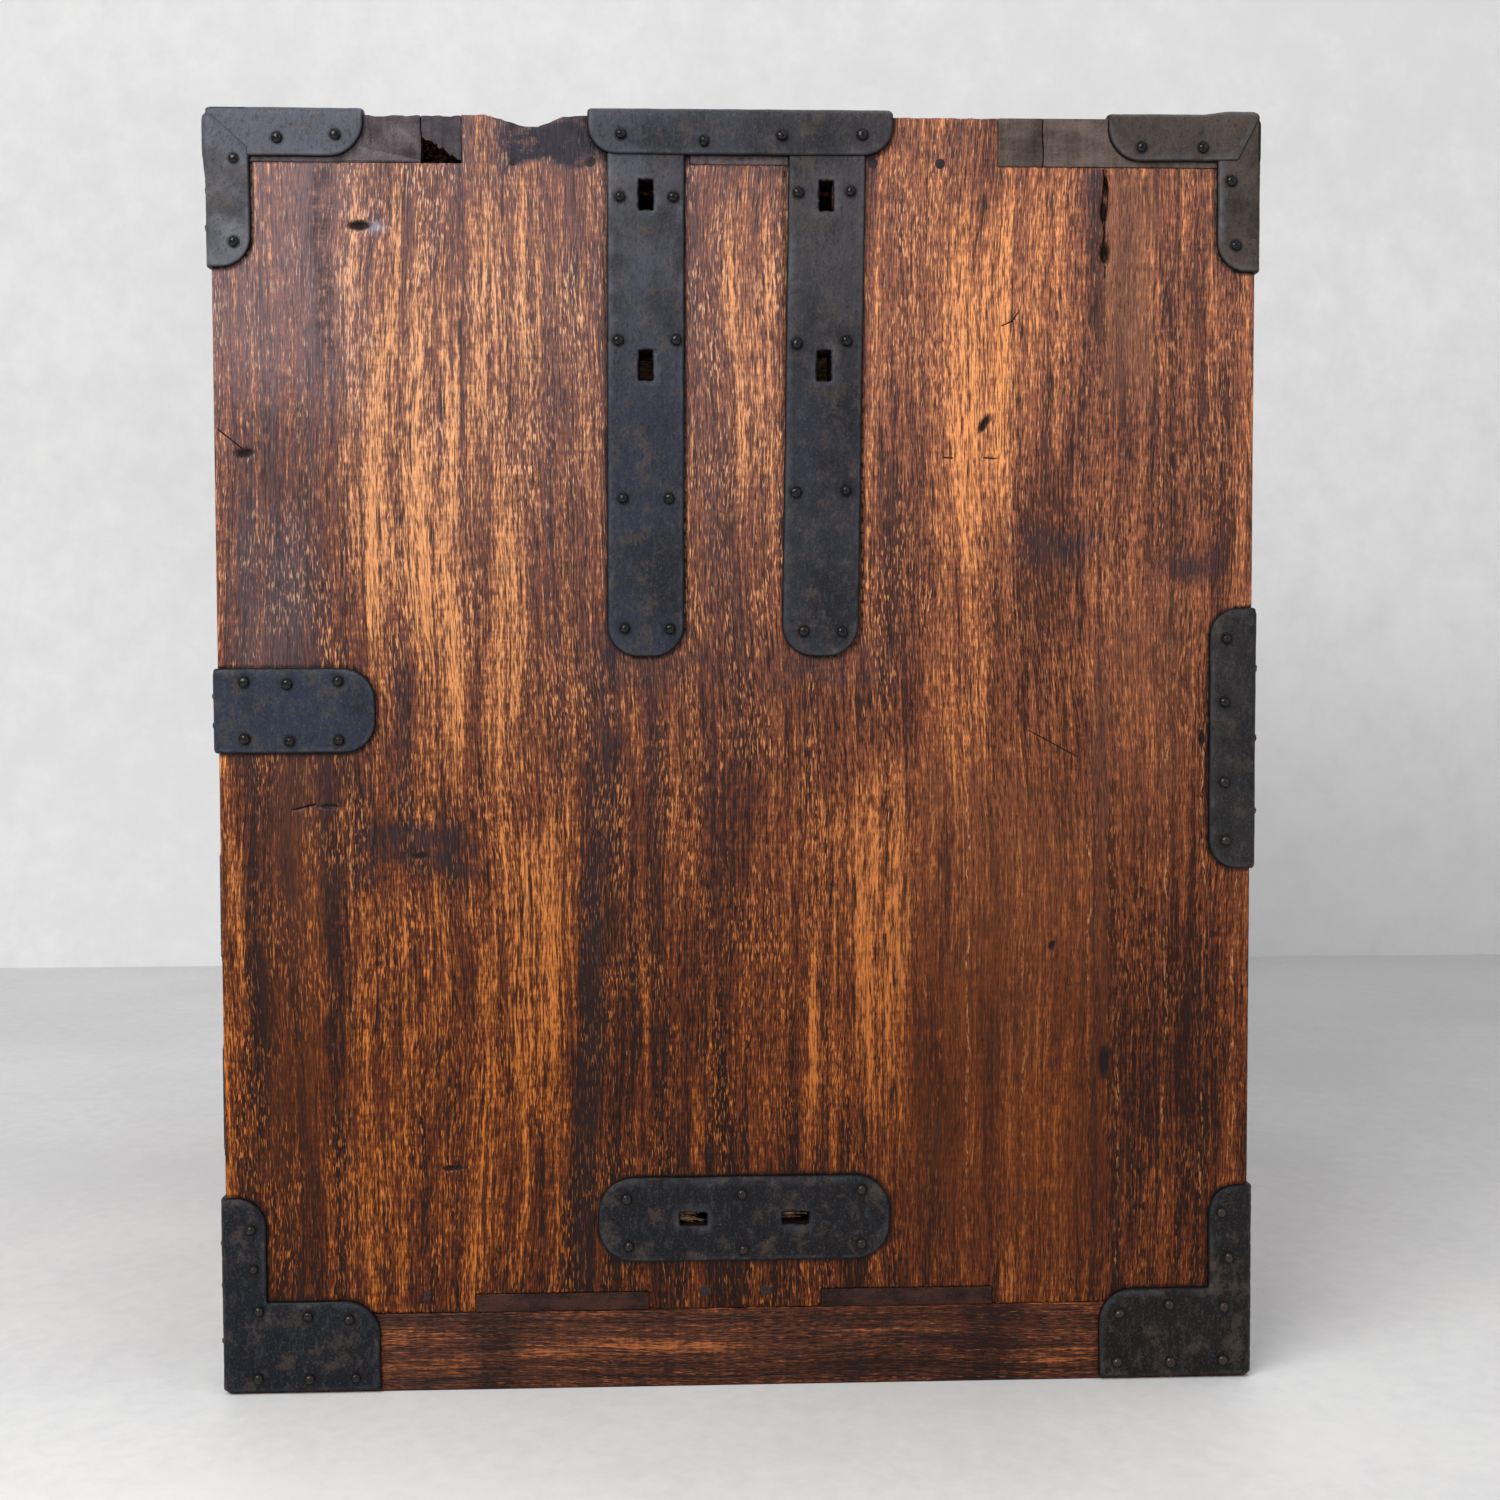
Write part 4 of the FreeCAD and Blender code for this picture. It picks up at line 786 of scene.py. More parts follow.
loops = side_loops(TOP_EDGE, 3, 0)
verts, faces, _ = plate(
    loops, SIDE_THICK, EDGE_ROUND, 3.0, side_face(1, INNER_X), right_relief, spots() + beside_irons())
outer_half = verts[:, 0] > SIDE_X - SIDE_THICK / 2
# Dark marks: breaks and cracks, and a line of painted shade and dirt beside the irons.
marks = np.maximum(face_wear(verts[:, 1:])[1], iron_edge_shade_and_dirt(verts[:, 1:]) * 0.95) * outer_half
# Painted shade on the board's faces deep inside the slots.
painted_slot_shade = np.any([(np.abs(verts[:, 1] - y) < width / 2 + 1) & (np.abs(verts[:, 2] - z) < height / 2 + 1)
                       for y, z, width, height in SLOTS], axis=0) & (verts[:, 0] < SIDE_X - SIDE_THICK / 2)
marks = np.maximum(marks, painted_slot_shade * 1.0)
# A painted highlight in one dent high on the front part of the face.
painted_dent_highlight = np.exp(-((verts[:, 1] + 158.2) / 4.6) ** 2 - ((verts[:, 2] - 512.4) / 2.1) ** 2) * outer_half
right_board = new_piece("right_side_board_worn", verts, faces, right_wood,
                        {"mark": marks, "painted_dent_highlight": painted_dent_highlight * 0.8})
housed(right_board, 1, right_wood)
dress(right_board, "carcase", "case_wood", "right_side_board")

# The left side is the same board the other way round, with the dents of its own life.


def lacquered(name, across, along, deep, shift, wear, tones, painted_sheen=0.0, roughness=0.45, relief=0.0007,
              flecks=0.7):
    """Lacquered timber without particular marks: tones are its dark, middle and bright colours."""
    material, tree, shader = new_material(name, roughness, 0.16)
    place = grain_place(tree, across, along, deep, shift)
    drift = grainy(place, (9, 3.5, 4), 2.0, 0.5)
    # The timber group also lays a painted sheen over the wood, as much as asked.
    sockets = dict(zip(("Dark", "Middle", "Bright"), tones), Place=place, Painted_Sheen=painted_sheen, Flecks=flecks,
                   Wear=calc("ADD", centred(drift, 2.2), wear))
    mixed = add(tree, "ShaderNodeGroup", sockets, node_tree=timber)
    tree.links.new(mixed.outputs["Colour"], shader.inputs["Base Color"])
    tree.links.new(mixed.outputs["Roughness"], shader.inputs["Roughness"])
    bumped(shader, mixed.outputs["Height"], 0.55, relief)
    return material, tree, shader, mixed


WARM_TONES = (colour(66, 38, 32), colour(124, 68, 42), colour(206, 124, 64))
DEEP_TONES = (colour(48, 27, 23), colour(88, 44, 29), colour(150, 80, 42))
left_wood = lacquered("left_side_lacquer", "Y", "Z", "X", (3.1, 1.7, 0.0), 0.0, WARM_TONES, 0.1)[0]


def left_relief(points):
    """Slow waves and a few scattered dents."""
    random.seed(12)
    depth = np.zeros(len(points))
    for _ in range(9):
        y, z, half = random.uniform(-200, 200), random.uniform(70, 520), random.uniform(3, 8)
        away = (points[:, 0] - y) ** 2 + (points[:, 1] - z) ** 2 * 2
        depth += np.exp(-away / half ** 2) * random.uniform(0.4, 1.1)
    return wobble(points, 90, 7.7) * 0.35 - depth


LEFT_EDGE = [(-120, 561), (-96, 560.5), (-70, 560.9), (-45, 560.3), (-21, 561)]
verts, faces, _ = plate(
    side_loops(LEFT_EDGE, 9, 40), SIDE_THICK, EDGE_ROUND, 4.0, side_face(-1, INNER_X), left_relief)
left_board = new_piece("left_side_board_worn", verts, faces, left_wood)
housed(left_board, -1, left_wood)
dress(left_board, "carcase", "case_wood", "left_side_board")

# ---------------------------------------------------------------- boards between the sides
# The top and bottom boards pass their tongues through the sides, so their end grain shows there.
# Four rails make the foot, planks close the back, and shelves and a divider stand inside.


def rubbed(name, shell, rub, material):
    """A piece from a joined mesh whose sharp edges are rubbed round by that many millimetres."""
    sharp = [edge for edge in shell.edges
             if len(edge.link_faces) == 2 and edge.calc_face_angle() > math.radians(40)]
    bmesh.ops.bevel(shell, geom=sharp, offset=rub * 0.001, segments=2, profile=0.6, affect="EDGES",
                    clamp_overlap=True)
    mesh = bpy.data.meshes.new(name)
    shell.to_mesh(mesh)
    shell.free()
    mesh.materials.append(material)
    smoothed(mesh, 35)
    return in_scene(name, mesh)


def worn(node, rub, material, body="carcase", slot="case_wood", ending="worn"):
    """A CAD node's own shape with its edges rubbed."""
    dress(rubbed(f"{node}_{ending}", merged(node), rub, material), body, slot, node)


def end_grained(shader, mixed, end_grain):
    """Show the end grain's colour on the ends of a board that passes through the sides."""
    tree = shader.id_data
    reach = calc("ABSOLUTE", axes_of(object_place(tree))["X"])
    shown = mix(fade(reach, 0.2988, 0.2994), mixed.outputs["Colour"], end_grain)
    tree.links.new(shown, shader.inputs["Base Color"])


top_wood, tree, shader, mixed = lacquered(
    "top_board_lacquer", "Y", "X", "Z", (1.3, 0.4, 2.2), 0.1, WARM_TONES, 0.15)
cloud = grainy(object_place(tree), (60, 34, 90), 4.0, 0.65)
stripe = grainy(object_place(tree), (20, 420, 60), 2.0, 0.5)
rings = calc("ADD", times(cloud, 0.7), times(stripe, 0.3))
along = axes_of(object_place(tree))["Y"]
tint = mix(fade(along, -0.05, 0.1), colour(108, 97, 101), colour(104, 90, 83))
tint = mix(times(fade(along, -0.1376, -0.1368), fade(along, -0.1, -0.11)), tint, colour(80, 74, 80))
darker = mix(1.0, tint, colour(166, 160, 164), "MULTIPLY")
end_grain = mix(fade(rings, 0.34, 0.62), darker, tint)
end_grained(shader, mixed, end_grain)


def two_toned(name, noise_form, span, dark, pale, roughness, specular):
    """A material that goes from dark to pale over a span of its noise, with its tree, shader and noise."""
    material, tree, shader = new_material(name, roughness, specular)
    cloud = grainy(object_place(tree), *noise_form)
    shown = mix(fade(cloud, *span), colour(*dark), colour(*pale))
    tree.links.new(shown, shader.inputs["Base Color"])
    return material, tree, shader, cloud


broken_wood, tree, shader, crumble = two_toned(
    "broken_wood", ((520, 520, 520), 4.0, 0.7), (0.54, 0.66), (12, 8, 7), (140, 74, 38), 0.9, 0.15)
bumped(shader, crumble, 0.9, 0.001)

top_board = rubbed("top_board_worn", merged("top_board"), 0.7, top_wood)
random.seed(17)
wedge = walk([(-137.2, 538), (-119.9, 538), (-119.9, 540.6), (-124, 543.4), (-129, 546.6), (-133.5, 549.2),
              (-137.2, 550.6)], 1.2)
wedge = [(y + random.uniform(-0.2, 0.35),
          z + random.uniform(-0.5, 0.5) + (z > 540) * random.uniform(-1.0, 1.3)) for y, z in wedge]
verts, faces, _ = plate(
    [wedge], 11, 0.8, 0.9, lambda points, heights: np.stack([303 - heights, points[:, 0], points[:, 1]], 1),
    lambda points: wobble(points, 2.2, 3.3) * 2.5 + wobble(points, 6, 8.1) * 3)
bitten(top_board, new_piece("cavity", verts, faces, broken_wood))
for y in (-137.2, 133.5):
    seam = [(y + 0.25 * math.sin(z / 3.1 + y), z) for z in np.arange(539.0, 562.0, 2.0)]
    outline = [(a - 0.28, z) for a, z in seam] + [(a + 0.28, z) for a, z in seam[::-1]]
    bitten(top_board, prism("seam", outline, 298.6, 302, broken_wood))
random.seed(21)
ragged_top = [(y, 560.3 - 1.1 * abs(noise.noise((y / 7, 3.3, 0))) - random.uniform(0, 0.35))
              for y in np.arange(-166, -119, 1.6)]
bitten(top_board, prism("chip", [(-166, 566)] + ragged_top + [(-118, 566)], 291, 303, top_wood))
top_board.data.set_sharp_from_angle(angle=math.radians(35))
dress(top_board, "carcase", "case_wood", "top_board")

low_wood, tree, shader, mixed = lacquered(
    "bottom_board_lacquer", "Y", "X", "Z", (5.2, 2.4, 1.1), -0.3, DEEP_TONES)
cloud = grainy(object_place(tree), (60, 40, 120), 4.0, 0.65)
end_grain = mix(fade(cloud, 0.36, 0.66), colour(30, 17, 14), colour(66, 38, 30))
end_grained(shader, mixed, end_grain)
side_rail_wood, tree, shader, mixed = lacquered(
    "side_rail_lacquer", "Z", "Y", "X", (0.7, 0.3, 4.0), 0.05,
    (colour(42, 21, 15), colour(84, 44, 27), colour(168, 98, 56)), flecks=0.3)
rubs = [
    (-55, 17, 62, 3.2, 0, 0.7, 0.7), (60, 25, 80, 2.4, 0, 0.8, 0.45), (150, 10, 40, 3, 0, 0.8, 0.4),
    (-140, 24, 26, 4, 0, 0.8, 0.4), (-110, 19, 9, 30, 0, 0.8, -0.9), (112, 19, 11, 30, 0, 0.8, -0.8),
    (20, 8, 90, 4, 0, 0.8, -0.4),
]
tree.links.new(areas_sum(object_place(tree), rubs, 0.05), mixed.inputs["Wear"])
front_rail_wood = lacquered("front_rail_lacquer", "Z", "X", "Y", (2.7, 5.3, 1.0), -0.1, DEEP_TONES)[0]
plank_wood = lacquered("back_plank_wood", "X", "Z", "Y", (8.1, 1.9, 0.0), 0.15,
                       (colour(70, 46, 36), colour(122, 82, 58), colour(164, 116, 80)), 0.1, 0.7)[0]
upright_wood = lacquered("divider_lacquer", "Y", "Z", "X", (6.6, 2.2, 3.0), -0.2, DEEP_TONES)[0]
shelf_wood = lacquered("shelf_lacquer", "Y", "X", "Z", (4.4, 7.2, 3.0), -0.1, DEEP_TONES)[0]
for node, rub, wood in (
    ("bottom_board", 0.5, low_wood), ("right_base_rail", 1.1, side_rail_wood),
    ("left_base_rail", 1.1, side_rail_wood), ("front_base_rail", 1.0, front_rail_wood),
    ("back_base_rail", 1.0, front_rail_wood), ("back_planks", 0.8, plank_wood),
    ("mid_shelf", 0.7, shelf_wood), ("lower_shelf", 0.7, shelf_wood), ("lower_divider", 0.7, upright_wood),
):
    worn(node, rub, wood)

peg_wood = two_toned(
    "peg_end_grain", ((400, 400, 400), 3.0, 0.6), (0.35, 0.65), (24, 17, 17), (50, 38, 38), 0.6, 0.3)[0]
worn("wooden_pegs", 0.35, peg_wood, slot="peg_wood")

# ---------------------------------------------------------------- irons of the two sides
# Plates forged from black iron sheet, folded over the chest's edges and nailed. At the top
# corners an upright plate is lapped over the level ones, with its end cut on the slant.

black_iron, tree, shader = new_material("black_forged_iron", 0.42, 0.2)
place = object_place(tree)
axes = axes_of(place)
broad, speckle, rust, grit, brushed, pits, patchy = (grainy(place, *form) for form in (
    ((22, 22, 22), 4.0, 0.6), ((640, 640, 420), 3.0, 0.7), ((110, 110, 110), 5.0, 0.75),
    ((1000, 1000, 1000), 2.0, 0.6), ((700, 500, 160), 3.0, 0.7), ((110, 110, 110), 3.0, 0.55),
    ((90, 90, 90), 3.0, 0.6)))
# The iron is lighter towards the top: painted light from above.
painted_light_above = fade(axes["Z"], 0.06, 0.34)
skin = mix(fade(axes["Y"], -0.16, 0.2), mix(painted_light_above, colour(9, 13, 23), colour(36, 43, 58)),
           mix(painted_light_above, colour(17, 11, 8), colour(40, 37, 38)))
# Dust and painted sheen: paler grey high on the front irons, where light from the upper front would glint.
dust_and_sheen = calc("ADD", fade(axes["Y"], 0.02, -0.2, 0.2, 0.75), fade(axes["Y"], 0.1, 0.21, 0.0, 0.4))
dust_and_sheen = times(dust_and_sheen, fade(axes["Z"], 0.42, 0.53))
dust_and_sheen = times(dust_and_sheen, fade(axes["Z"], 0.533, 0.548, 1.0, 0.5))
dust_and_sheen_tone = mix(fade(axes["Y"], -0.1, 0.15), colour(116, 116, 124), colour(106, 90, 80))
# The plates' rounded rims are paler, as wear and a painted edge highlight, most where sheen is painted.
rim_wear_and_highlight = times(times(painted(tree, "rim"), fade(patchy, 0.35, 0.65)),
                 calc("MULTIPLY_ADD", dust_and_sheen, 0.8, 0.16))
for share, layer in (
    (dust_and_sheen, dust_and_sheen_tone), (fade(broad, 0.44, 0.66, 0.0, 0.7), colour(15, 16, 20)),
    (times(fade(rust, 0.5, 0.64), 0.4), colour(82, 68, 58)),
    (fade(brushed, 0.5, 0.7, 0.0, 0.14), colour(96, 98, 104)),
    (fade(speckle, 0.5, 0.7, 0.0, 0.5), colour(11, 11, 14)),
    (fade(grit, 0.55, 0.7, 0.0, 0.15), colour(112, 112, 116)), (rim_wear_and_highlight, colour(104, 106, 114)),
    # Painted shade: near black along the plates' outer edges and round the nails.
    (painted(tree, "edge_and_nail_shade"), colour(10, 9, 10)),
):
    skin = mix(share, skin, layer)
tree.links.new(skin, shader.inputs["Base Color"])
matt = calc("MULTIPLY_ADD", broad, 0.35, times(speckle, 0.2))
tree.links.new(calc("ADD", matt, 0.2), shader.inputs["Roughness"])
bumped(shader, calc("ADD", times(speckle, 0.5), pits), 0.7, 0.0008)


def fold(edge, along_a, along_b, run, bend=1.2):
    """Places on a sheet folded over an edge of the chest.

    The first coordinate is the way from the edge, positive on face a and negative on face b;
    the second goes along the edge.
    """
    edge, a, b, along = (np.array(v, float) for v in (edge, along_a, along_b, run))

    def place(points, heights):
        way, far = points[:, :1], points[:, 1:]
        angle = (1 - np.clip(way / bend, -1, 1)) * math.pi / 4
        out = -b * np.cos(angle) - a * np.sin(angle)
        corner = edge + (a + b) * bend + along * far
        return (corner + out * (bend + heights[:, None])
                + a * np.clip(way - bend, 0, None) + b * np.clip(-way - bend, 0, None))
    return place


def upright_edge(side, way):
    """An upright edge of a side, at the front (1) or back (-1): first over the side, second is z."""
    return fold((SIDE_X * side, FRONT_Y * way, 0), (0, way, 0), (-side, 0, 0), (0, 0, 1))


def top_edge(side):
    """The level top edge of a side: first coordinate down the side, second is y."""
    return fold((SIDE_X * side, 0, TOP_Z), (0, 0, -1), (-side, 0, 0), (0, 1, 0))


def cross_edge(way):
    """The level top edge of the front (1) or back (-1): first coordinate down it, second is x."""
    return fold((0, FRONT_Y * way, TOP_Z), (0, 0, -1), (0, way, 0), (1, 0, 0))


# The CAD nails, in metres.
NAIL_LENGTH, NAIL_WIDTH, HEAD_HEIGHT = 0.0123, 0.0044, 0.0013


def islands(node):
    """The separate solids of a CAD node, each as its own joined mesh."""
    whole = merged(node)
    whole.verts.index_update()
    whole.faces.index_update()
    waiting, groups = set(whole.verts), []
    while waiting:
        front_line, group = [waiting.pop()], []
        while front_line:
            vert = front_line.pop()
            group.append(vert)
            for edge in vert.link_edges:
                other = edge.other_vert(vert)
                if other in waiting:
                    waiting.discard(other)
                    front_line.append(other)
        groups.append(sorted(group, key=lambda vert: vert.index))
    groups.sort(key=lambda group: tuple(np.round(np.mean([v.co for v in group], axis=0), 5)))
    found = []
    for group in groups:
        index = {vert: number for number, vert in enumerate(group)}
        seen = sorted({face for vert in group for face in vert.link_faces}, key=lambda face: face.index)
        found.append((np.array([v.co for v in group]), [[index[v] for v in face.verts] for face in seen]))
    whole.free()
    return found


def sort_nails(node):
    """A node's nails as (place of the head, way it points), in metres, and its other solids."""
    nails, others = [], []
    for verts, faces in islands(node):
        size = np.ptp(verts, axis=0)
        axis = int(np.argmax(size))
        if abs(size[axis] - NAIL_LENGTH) > 0.0002 or abs(np.delete(size, axis).max() - NAIL_WIDTH) > 0.0003:
            others.append((verts, faces))
            continue
        middle = (verts.min(0) + verts.max(0)) / 2
        radius = np.linalg.norm(np.delete(verts - middle, axis, axis=1), axis=1)
        way = np.zeros(3)
        way[axis] = 1 if verts[radius > 0.002, axis].mean() > middle[axis] else -1
        nails.append((middle + way * (NAIL_LENGTH / 2 - HEAD_HEIGHT), way))
    return nails, others


def nearest_nail(places, nails):
    """How far places in millimetres are from the nearest nail."""
    best = np.full(len(places), 1e9)
    for nail, _ in nails:
        best = np.minimum(best, np.linalg.norm(places - nail * 1000, axis=1))
    return best


IRON_THICK = 2.1  # What most plates are thick, in millimetres.
# Fine points reach so far round a nail, and carry a ring of painted shade with this radius and width.
FINE_STEP, FINE_REACH = 0.7, 3.6
SHADE_RING_RADIUS, SHADE_RING_WIDTH = 2.5, 0.55


def forge(name, leaves, body, nails, *nodes):
    """One piece of several forged plates, with painted shade round its nails and along its outer edges.

    Each plate is (corners, place), and then may have a thickness, holes and a further relief.
    """
    verts, faces, rims, count = [], [], [], 0
    for number, (corners, place, *rest) in enumerate(leaves):
        thickness, holes, raised = rest + [IRON_THICK, [], None][len(rest):]
        seed = sum(map(ord, name)) * 0.37 + number * 5.1
        line = np.array(walk(rounded(corners), 2.2))
        line = line + np.stack([wobble(line, 17, seed), wobble(line, 17, seed + 9)], 1) * 0.22
        low, high = line.min(0), line.max(0)
        steps = [np.arange(start, end, FINE_STEP) for start, end in zip(low, high)]
        fine = np.stack(np.meshgrid(*steps), -1).reshape(-1, 2)
        closer = fine[nearest_nail(place(fine, np.full(len(fine), thickness)), nails) < FINE_REACH]
        if low[0] < -3:
            rows = np.arange(low[1] + 1.7, high[1] - 1.7, 1.8)
            closer = np.concatenate([[(s, r) for s in (-1.2, -0.6, 0, 0.6, 1.2) for r in rows], closer])

        def hammered(points, seed=seed, raised=raised):
            beat = wobble(points, 9, seed) * 0.1 + wobble(points, 40, seed + 3) * 0.18
            return beat + (raised(points) if raised else 0)

        loops = [[tuple(p) for p in line]] + holes
        part, tris, margin = plate(loops, thickness, EDGE_ROUND, 3.0, place, hammered, closer)
        faces += [tuple(v + count for v in face) for face in tris]
        count += len(part)
        verts.append(part)
        rims.append(margin)
    margin, verts = np.concatenate(rims), np.concatenate(verts)
    # A ring of painted shade round each nail, joined with painted shade along the plates' outer edges.
    ring = np.exp(-((nearest_nail(verts, nails) - SHADE_RING_RADIUS) / SHADE_RING_WIDTH) ** 2)
    piece = new_piece(name, verts, faces, black_iron, {
        "rim": np.clip(1 - np.abs(margin - EDGE_ROUND) / 0.8, 0, 1),
        "edge_and_nail_shade": np.maximum(np.clip(1.25 - margin / 0.75, 0, 1), ring * 0.9)})
    return dress(piece, body, "black_iron", *nodes)


def side_iron_leaves(side):
    """The leaves of every iron on one side, by the CAD name of the iron."""
    irons, front, back, top = {}, upright_edge(side, 1), upright_edge(side, -1), top_edge(side)
    for name, upright, way in (("top_front", front, 1), ("top_back", back, -1)):
        start, end = -229.4 * way, -162 * way
        corner_x, inner_x = 301.4 * side, 234 * side
        across = [(19, corner_x, 0), (19, inner_x, 15), (-17.5, inner_x, 13), (-17.5, corner_x, 0)]
        if way > 0:
            level = [(19, start, 0), (19, end, 15), (-17.5, end, 13), (-17.5, start, 0)]
            stem = [(0, 561.4, 0), (17.3, 546, 1.5), (17.5, 494.5, 13), (-17.5, 494.5, 13), (-17.3, 546, 1.5)]
            lap = (None, lambda points: np.clip((points[:, 1] - 532) / 12, 0, 1) * 1.3)
        else:
            level = [(0, start, 0), (18.6, 219.5, 1.5), (19, end, 15), (-17.5, end, 13), (-17.5, start, 0)]
            stem = [(17.5, 561.2, 0), (17.5, 494.5, 13), (-17.5, 494.5, 13), (-17.5, 561.2, 0)]
            lap = (lambda points: np.clip((points[:, 1] - 205) / 10, 0, 1) * 1.3, None)
        irons[f"{name}_corner_iron"] = [(level, top, 2.3, [], lap[0]), (across, cross_edge(way), 2.0),
                                        (stem, upright, IRON_THICK, [], lap[1])]
    boot = [(67.5, 1.2, 1), (67.5, 41.5, 15), (18, 41.5, 0), (18, 88, 13), (-18, 88, 13), (-18, 41.5, 0),
            (-67.5, 41.5, 15), (-67.5, 1.2, 1)]
    irons["bottom_front_corner_iron"], irons["bottom_back_corner_iron"] = [(boot, front)], [(boot, back)]
    saddle = [(17.5, -65.5, 13), (17.5, 67.5, 13), (-44, 67.5, 13), (-44, -65.5, 13)]
    irons["saddle_plate"] = [(saddle, top, 3.0)]
    for name, top_y, foot_y, slots in (("front_strap", -40.2, -41.4, SLOTS[:2]),
                                       ("back_strap", 38.8, 35.3, SLOTS[2:4])):
        holes = [slot_loop(y - FRONT_Y, z, width, height, int(z)) for y, z, width, height in slots]
        shape = [(top_y + 211.1, 548, 0), (foot_y + 211.1, 326, 14), (foot_y + 244.9, 326, 14),
                 (top_y + 244.9, 548, 0)]
        irons[name] = [(shape, front, 2.0, holes)]
    band = [(68.5, 284.4, 14), (68.5, 321.6, 14), (-19, 321.6, 2), (-19, 313, 0), (-62, 313, 6.5),
            (-62, 293, 6.5), (-19, 293, 0), (-19, 284.4, 2)]
    irons["mid_band"] = [(band, front)]
    bracket = [(19.3, 230.8, 13), (19.3, 347, 13), (-19.3, 347, 13), (-19.3, 230.8, 13)]
    irons["back_edge_bracket"] = [(bracket, back)]
    holes = [slot_loop(y - FRONT_Y, z, width, height, int(y + 300)) for y, z, width, height in SLOTS[4:]]
    low_plate = [(163.95, 57, 16), (294.45, 57, 16), (294.45, 95, 16), (163.95, 95, 16)]
    irons["lower_plate"] = [(low_plate, front, IRON_THICK, holes)]
    return irons


side_nails = {node: sort_nails(node)[0] for node in ("right_side_nails", "left_side_nails")}
for name, leaves in side_iron_leaves(1).items():
    forge(f"right_{name}_forged", leaves, "carcase", side_nails["right_side_nails"], f"right_{name}")
left_leaves = side_iron_leaves(-1)
for group, names in (("left_corner_irons", [name for name in left_leaves if "corner" in name]),
                     ("left_straps", ["front_strap", "back_strap"]), ("left_saddle_plate", ["saddle_plate"]),
                     ("left_mid_band", ["mid_band"]), ("left_back_edge_bracket", ["back_edge_bracket"]),
                     ("left_lower_plate", ["lower_plate"])):
    forge(f"{group}_forged", [leaf for name in names for leaf in left_leaves[name]], "carcase",
          side_nails["left_side_nails"], group)

# Torn fibres fill the left slot of the low plate, and a broken splint stands in the right one.
fibre_wood = two_toned(
    "torn_fibres", ((600, 300, 900), 3.0, 0.7), (0.35, 0.65), (96, 64, 42), (224, 184, 138), 0.8, 0.2)[0]
random.seed(31)
verts, faces = [], []
for number in range(34):
    if number < 30:
        start = Vector((random.uniform(291, 297), -27.8, random.uniform(73.4, 78.6)))
        end = start + Vector((random.uniform(-2, 1.5), random.uniform(5, 11.5), random.uniform(-1.6, 1.6)))
        thick = random.uniform(0.22, 0.5)
    else:
        start = Vector((random.uniform(290, 295), 17.6, 73.6 + (number - 30) * 1.3))
        end = start + Vector((random.uniform(-1, 1), random.uniform(7, 12.5), random.uniform(-0.3, 0.3)))
        thick = 0.75
    end.z = min(max(end.z, 73.3), 78.7)
    middle = (start + end) / 2 + Vector((random.uniform(-0.8, 0.8), 0, random.uniform(-0.5, 0.5)))
    base = len(verts)
    for centre, size in ((start, thick), (middle, thick), (end, thick * 0.4)):
        verts += [centre + Vector((size * math.cos(t), 0, size * math.sin(t))) for t in (0.6, 2.2, 3.8, 5.4)]
    for row in (0, 4):
        faces += [(base + row + k, base + row + (k + 1) % 4, base + row + 4 + (k + 1) % 4, base + row + 4 + k)
                  for k in range(4)]
    faces += [tuple(base + k for k in (3, 2, 1, 0)), tuple(base + 8 + k for k in range(4))]
dress(new_piece("torn_fibres", verts, faces, fibre_wood), "carcase", "case_wood")

# Nails with small forged heads, which stand a little proud of the plates.
nail_maker, given, out = node_group(
    "forged_nail_heads", "GeometryNodeTree",
    [("Geometry", ["Geometry"]), ("Float", ["Head Radius", "Head Height", "Proud"]), ("Int", ["Seed"]),
     ("Material", ["Finish"])],
    [("Geometry", ["Geometry"])])
nail_inputs = {socket.name: socket for socket in nail_maker.interface.items_tree if socket.in_out == "INPUT"}
for label, value in (("Head Radius", NAIL_WIDTH / 2), ("Head Height", 0.0016), ("Proud", 0.0005),
                     ("Seed", 5)):
    nail_inputs[label].default_value = value


def geo(kind, sockets=None, output=0, **settings):
    """An output of a new node in the nail tree."""
    return add(nail_maker, kind, sockets, **settings).outputs[output]


way = geo("GeometryNodeInputNamedAttribute", {"Name": "way"}, data_type="FLOAT_VECTOR")
lift = geo("ShaderNodeVectorMath", {0: way, "Scale": given["Proud"]}, operation="SCALE")
lifted = geo("GeometryNodeSetPosition", {"Geometry": given["Geometry"], "Offset": lift})
radius = given["Head Radius"]
size = geo("ShaderNodeCombineXYZ", {"X": radius, "Y": radius, "Z": given["Head Height"]})
ball = geo("GeometryNodeMeshUVSphere", {"Segments": 14, "Rings": 9, "Radius": 1.0})
head = geo("GeometryNodeTransform", {"Geometry": ball, "Scale": size})
uneven = geo("ShaderNodeTexNoise", {"Scale": 700.0, "Vector": geo("GeometryNodeInputPosition")}, "Color")
uneven = vector_calc("SUBTRACT", uneven, (0.5, 0.5, 0.5))
uneven = geo("ShaderNodeVectorMath", {0: uneven, "Scale": 0.0009}, operation="SCALE")
beaten = geo("GeometryNodeSetPosition", {"Geometry": head, "Offset": uneven})
smooth = geo("GeometryNodeSetShadeSmooth", {"Geometry": beaten})
straight = geo("FunctionNodeAlignRotationToVector", {"Vector": way}, axis="Z")
spin = geo("FunctionNodeRandomValue", {2: 0.0, 3: 6.28, "Seed": given["Seed"]}, 1, data_type="FLOAT")
spun = geo("FunctionNodeAxisAngleToRotation", {"Axis": (0.0, 0.0, 1.0), "Angle": spin})
turn = geo("FunctionNodeRotateRotation", {0: straight, 1: spun}, rotation_space="LOCAL")
sizes = geo("FunctionNodeRandomValue", {0: (0.9, 0.9, 0.85), 1: (1.1, 1.1, 1.15), "Seed": given["Seed"]},
            data_type="FLOAT_VECTOR")
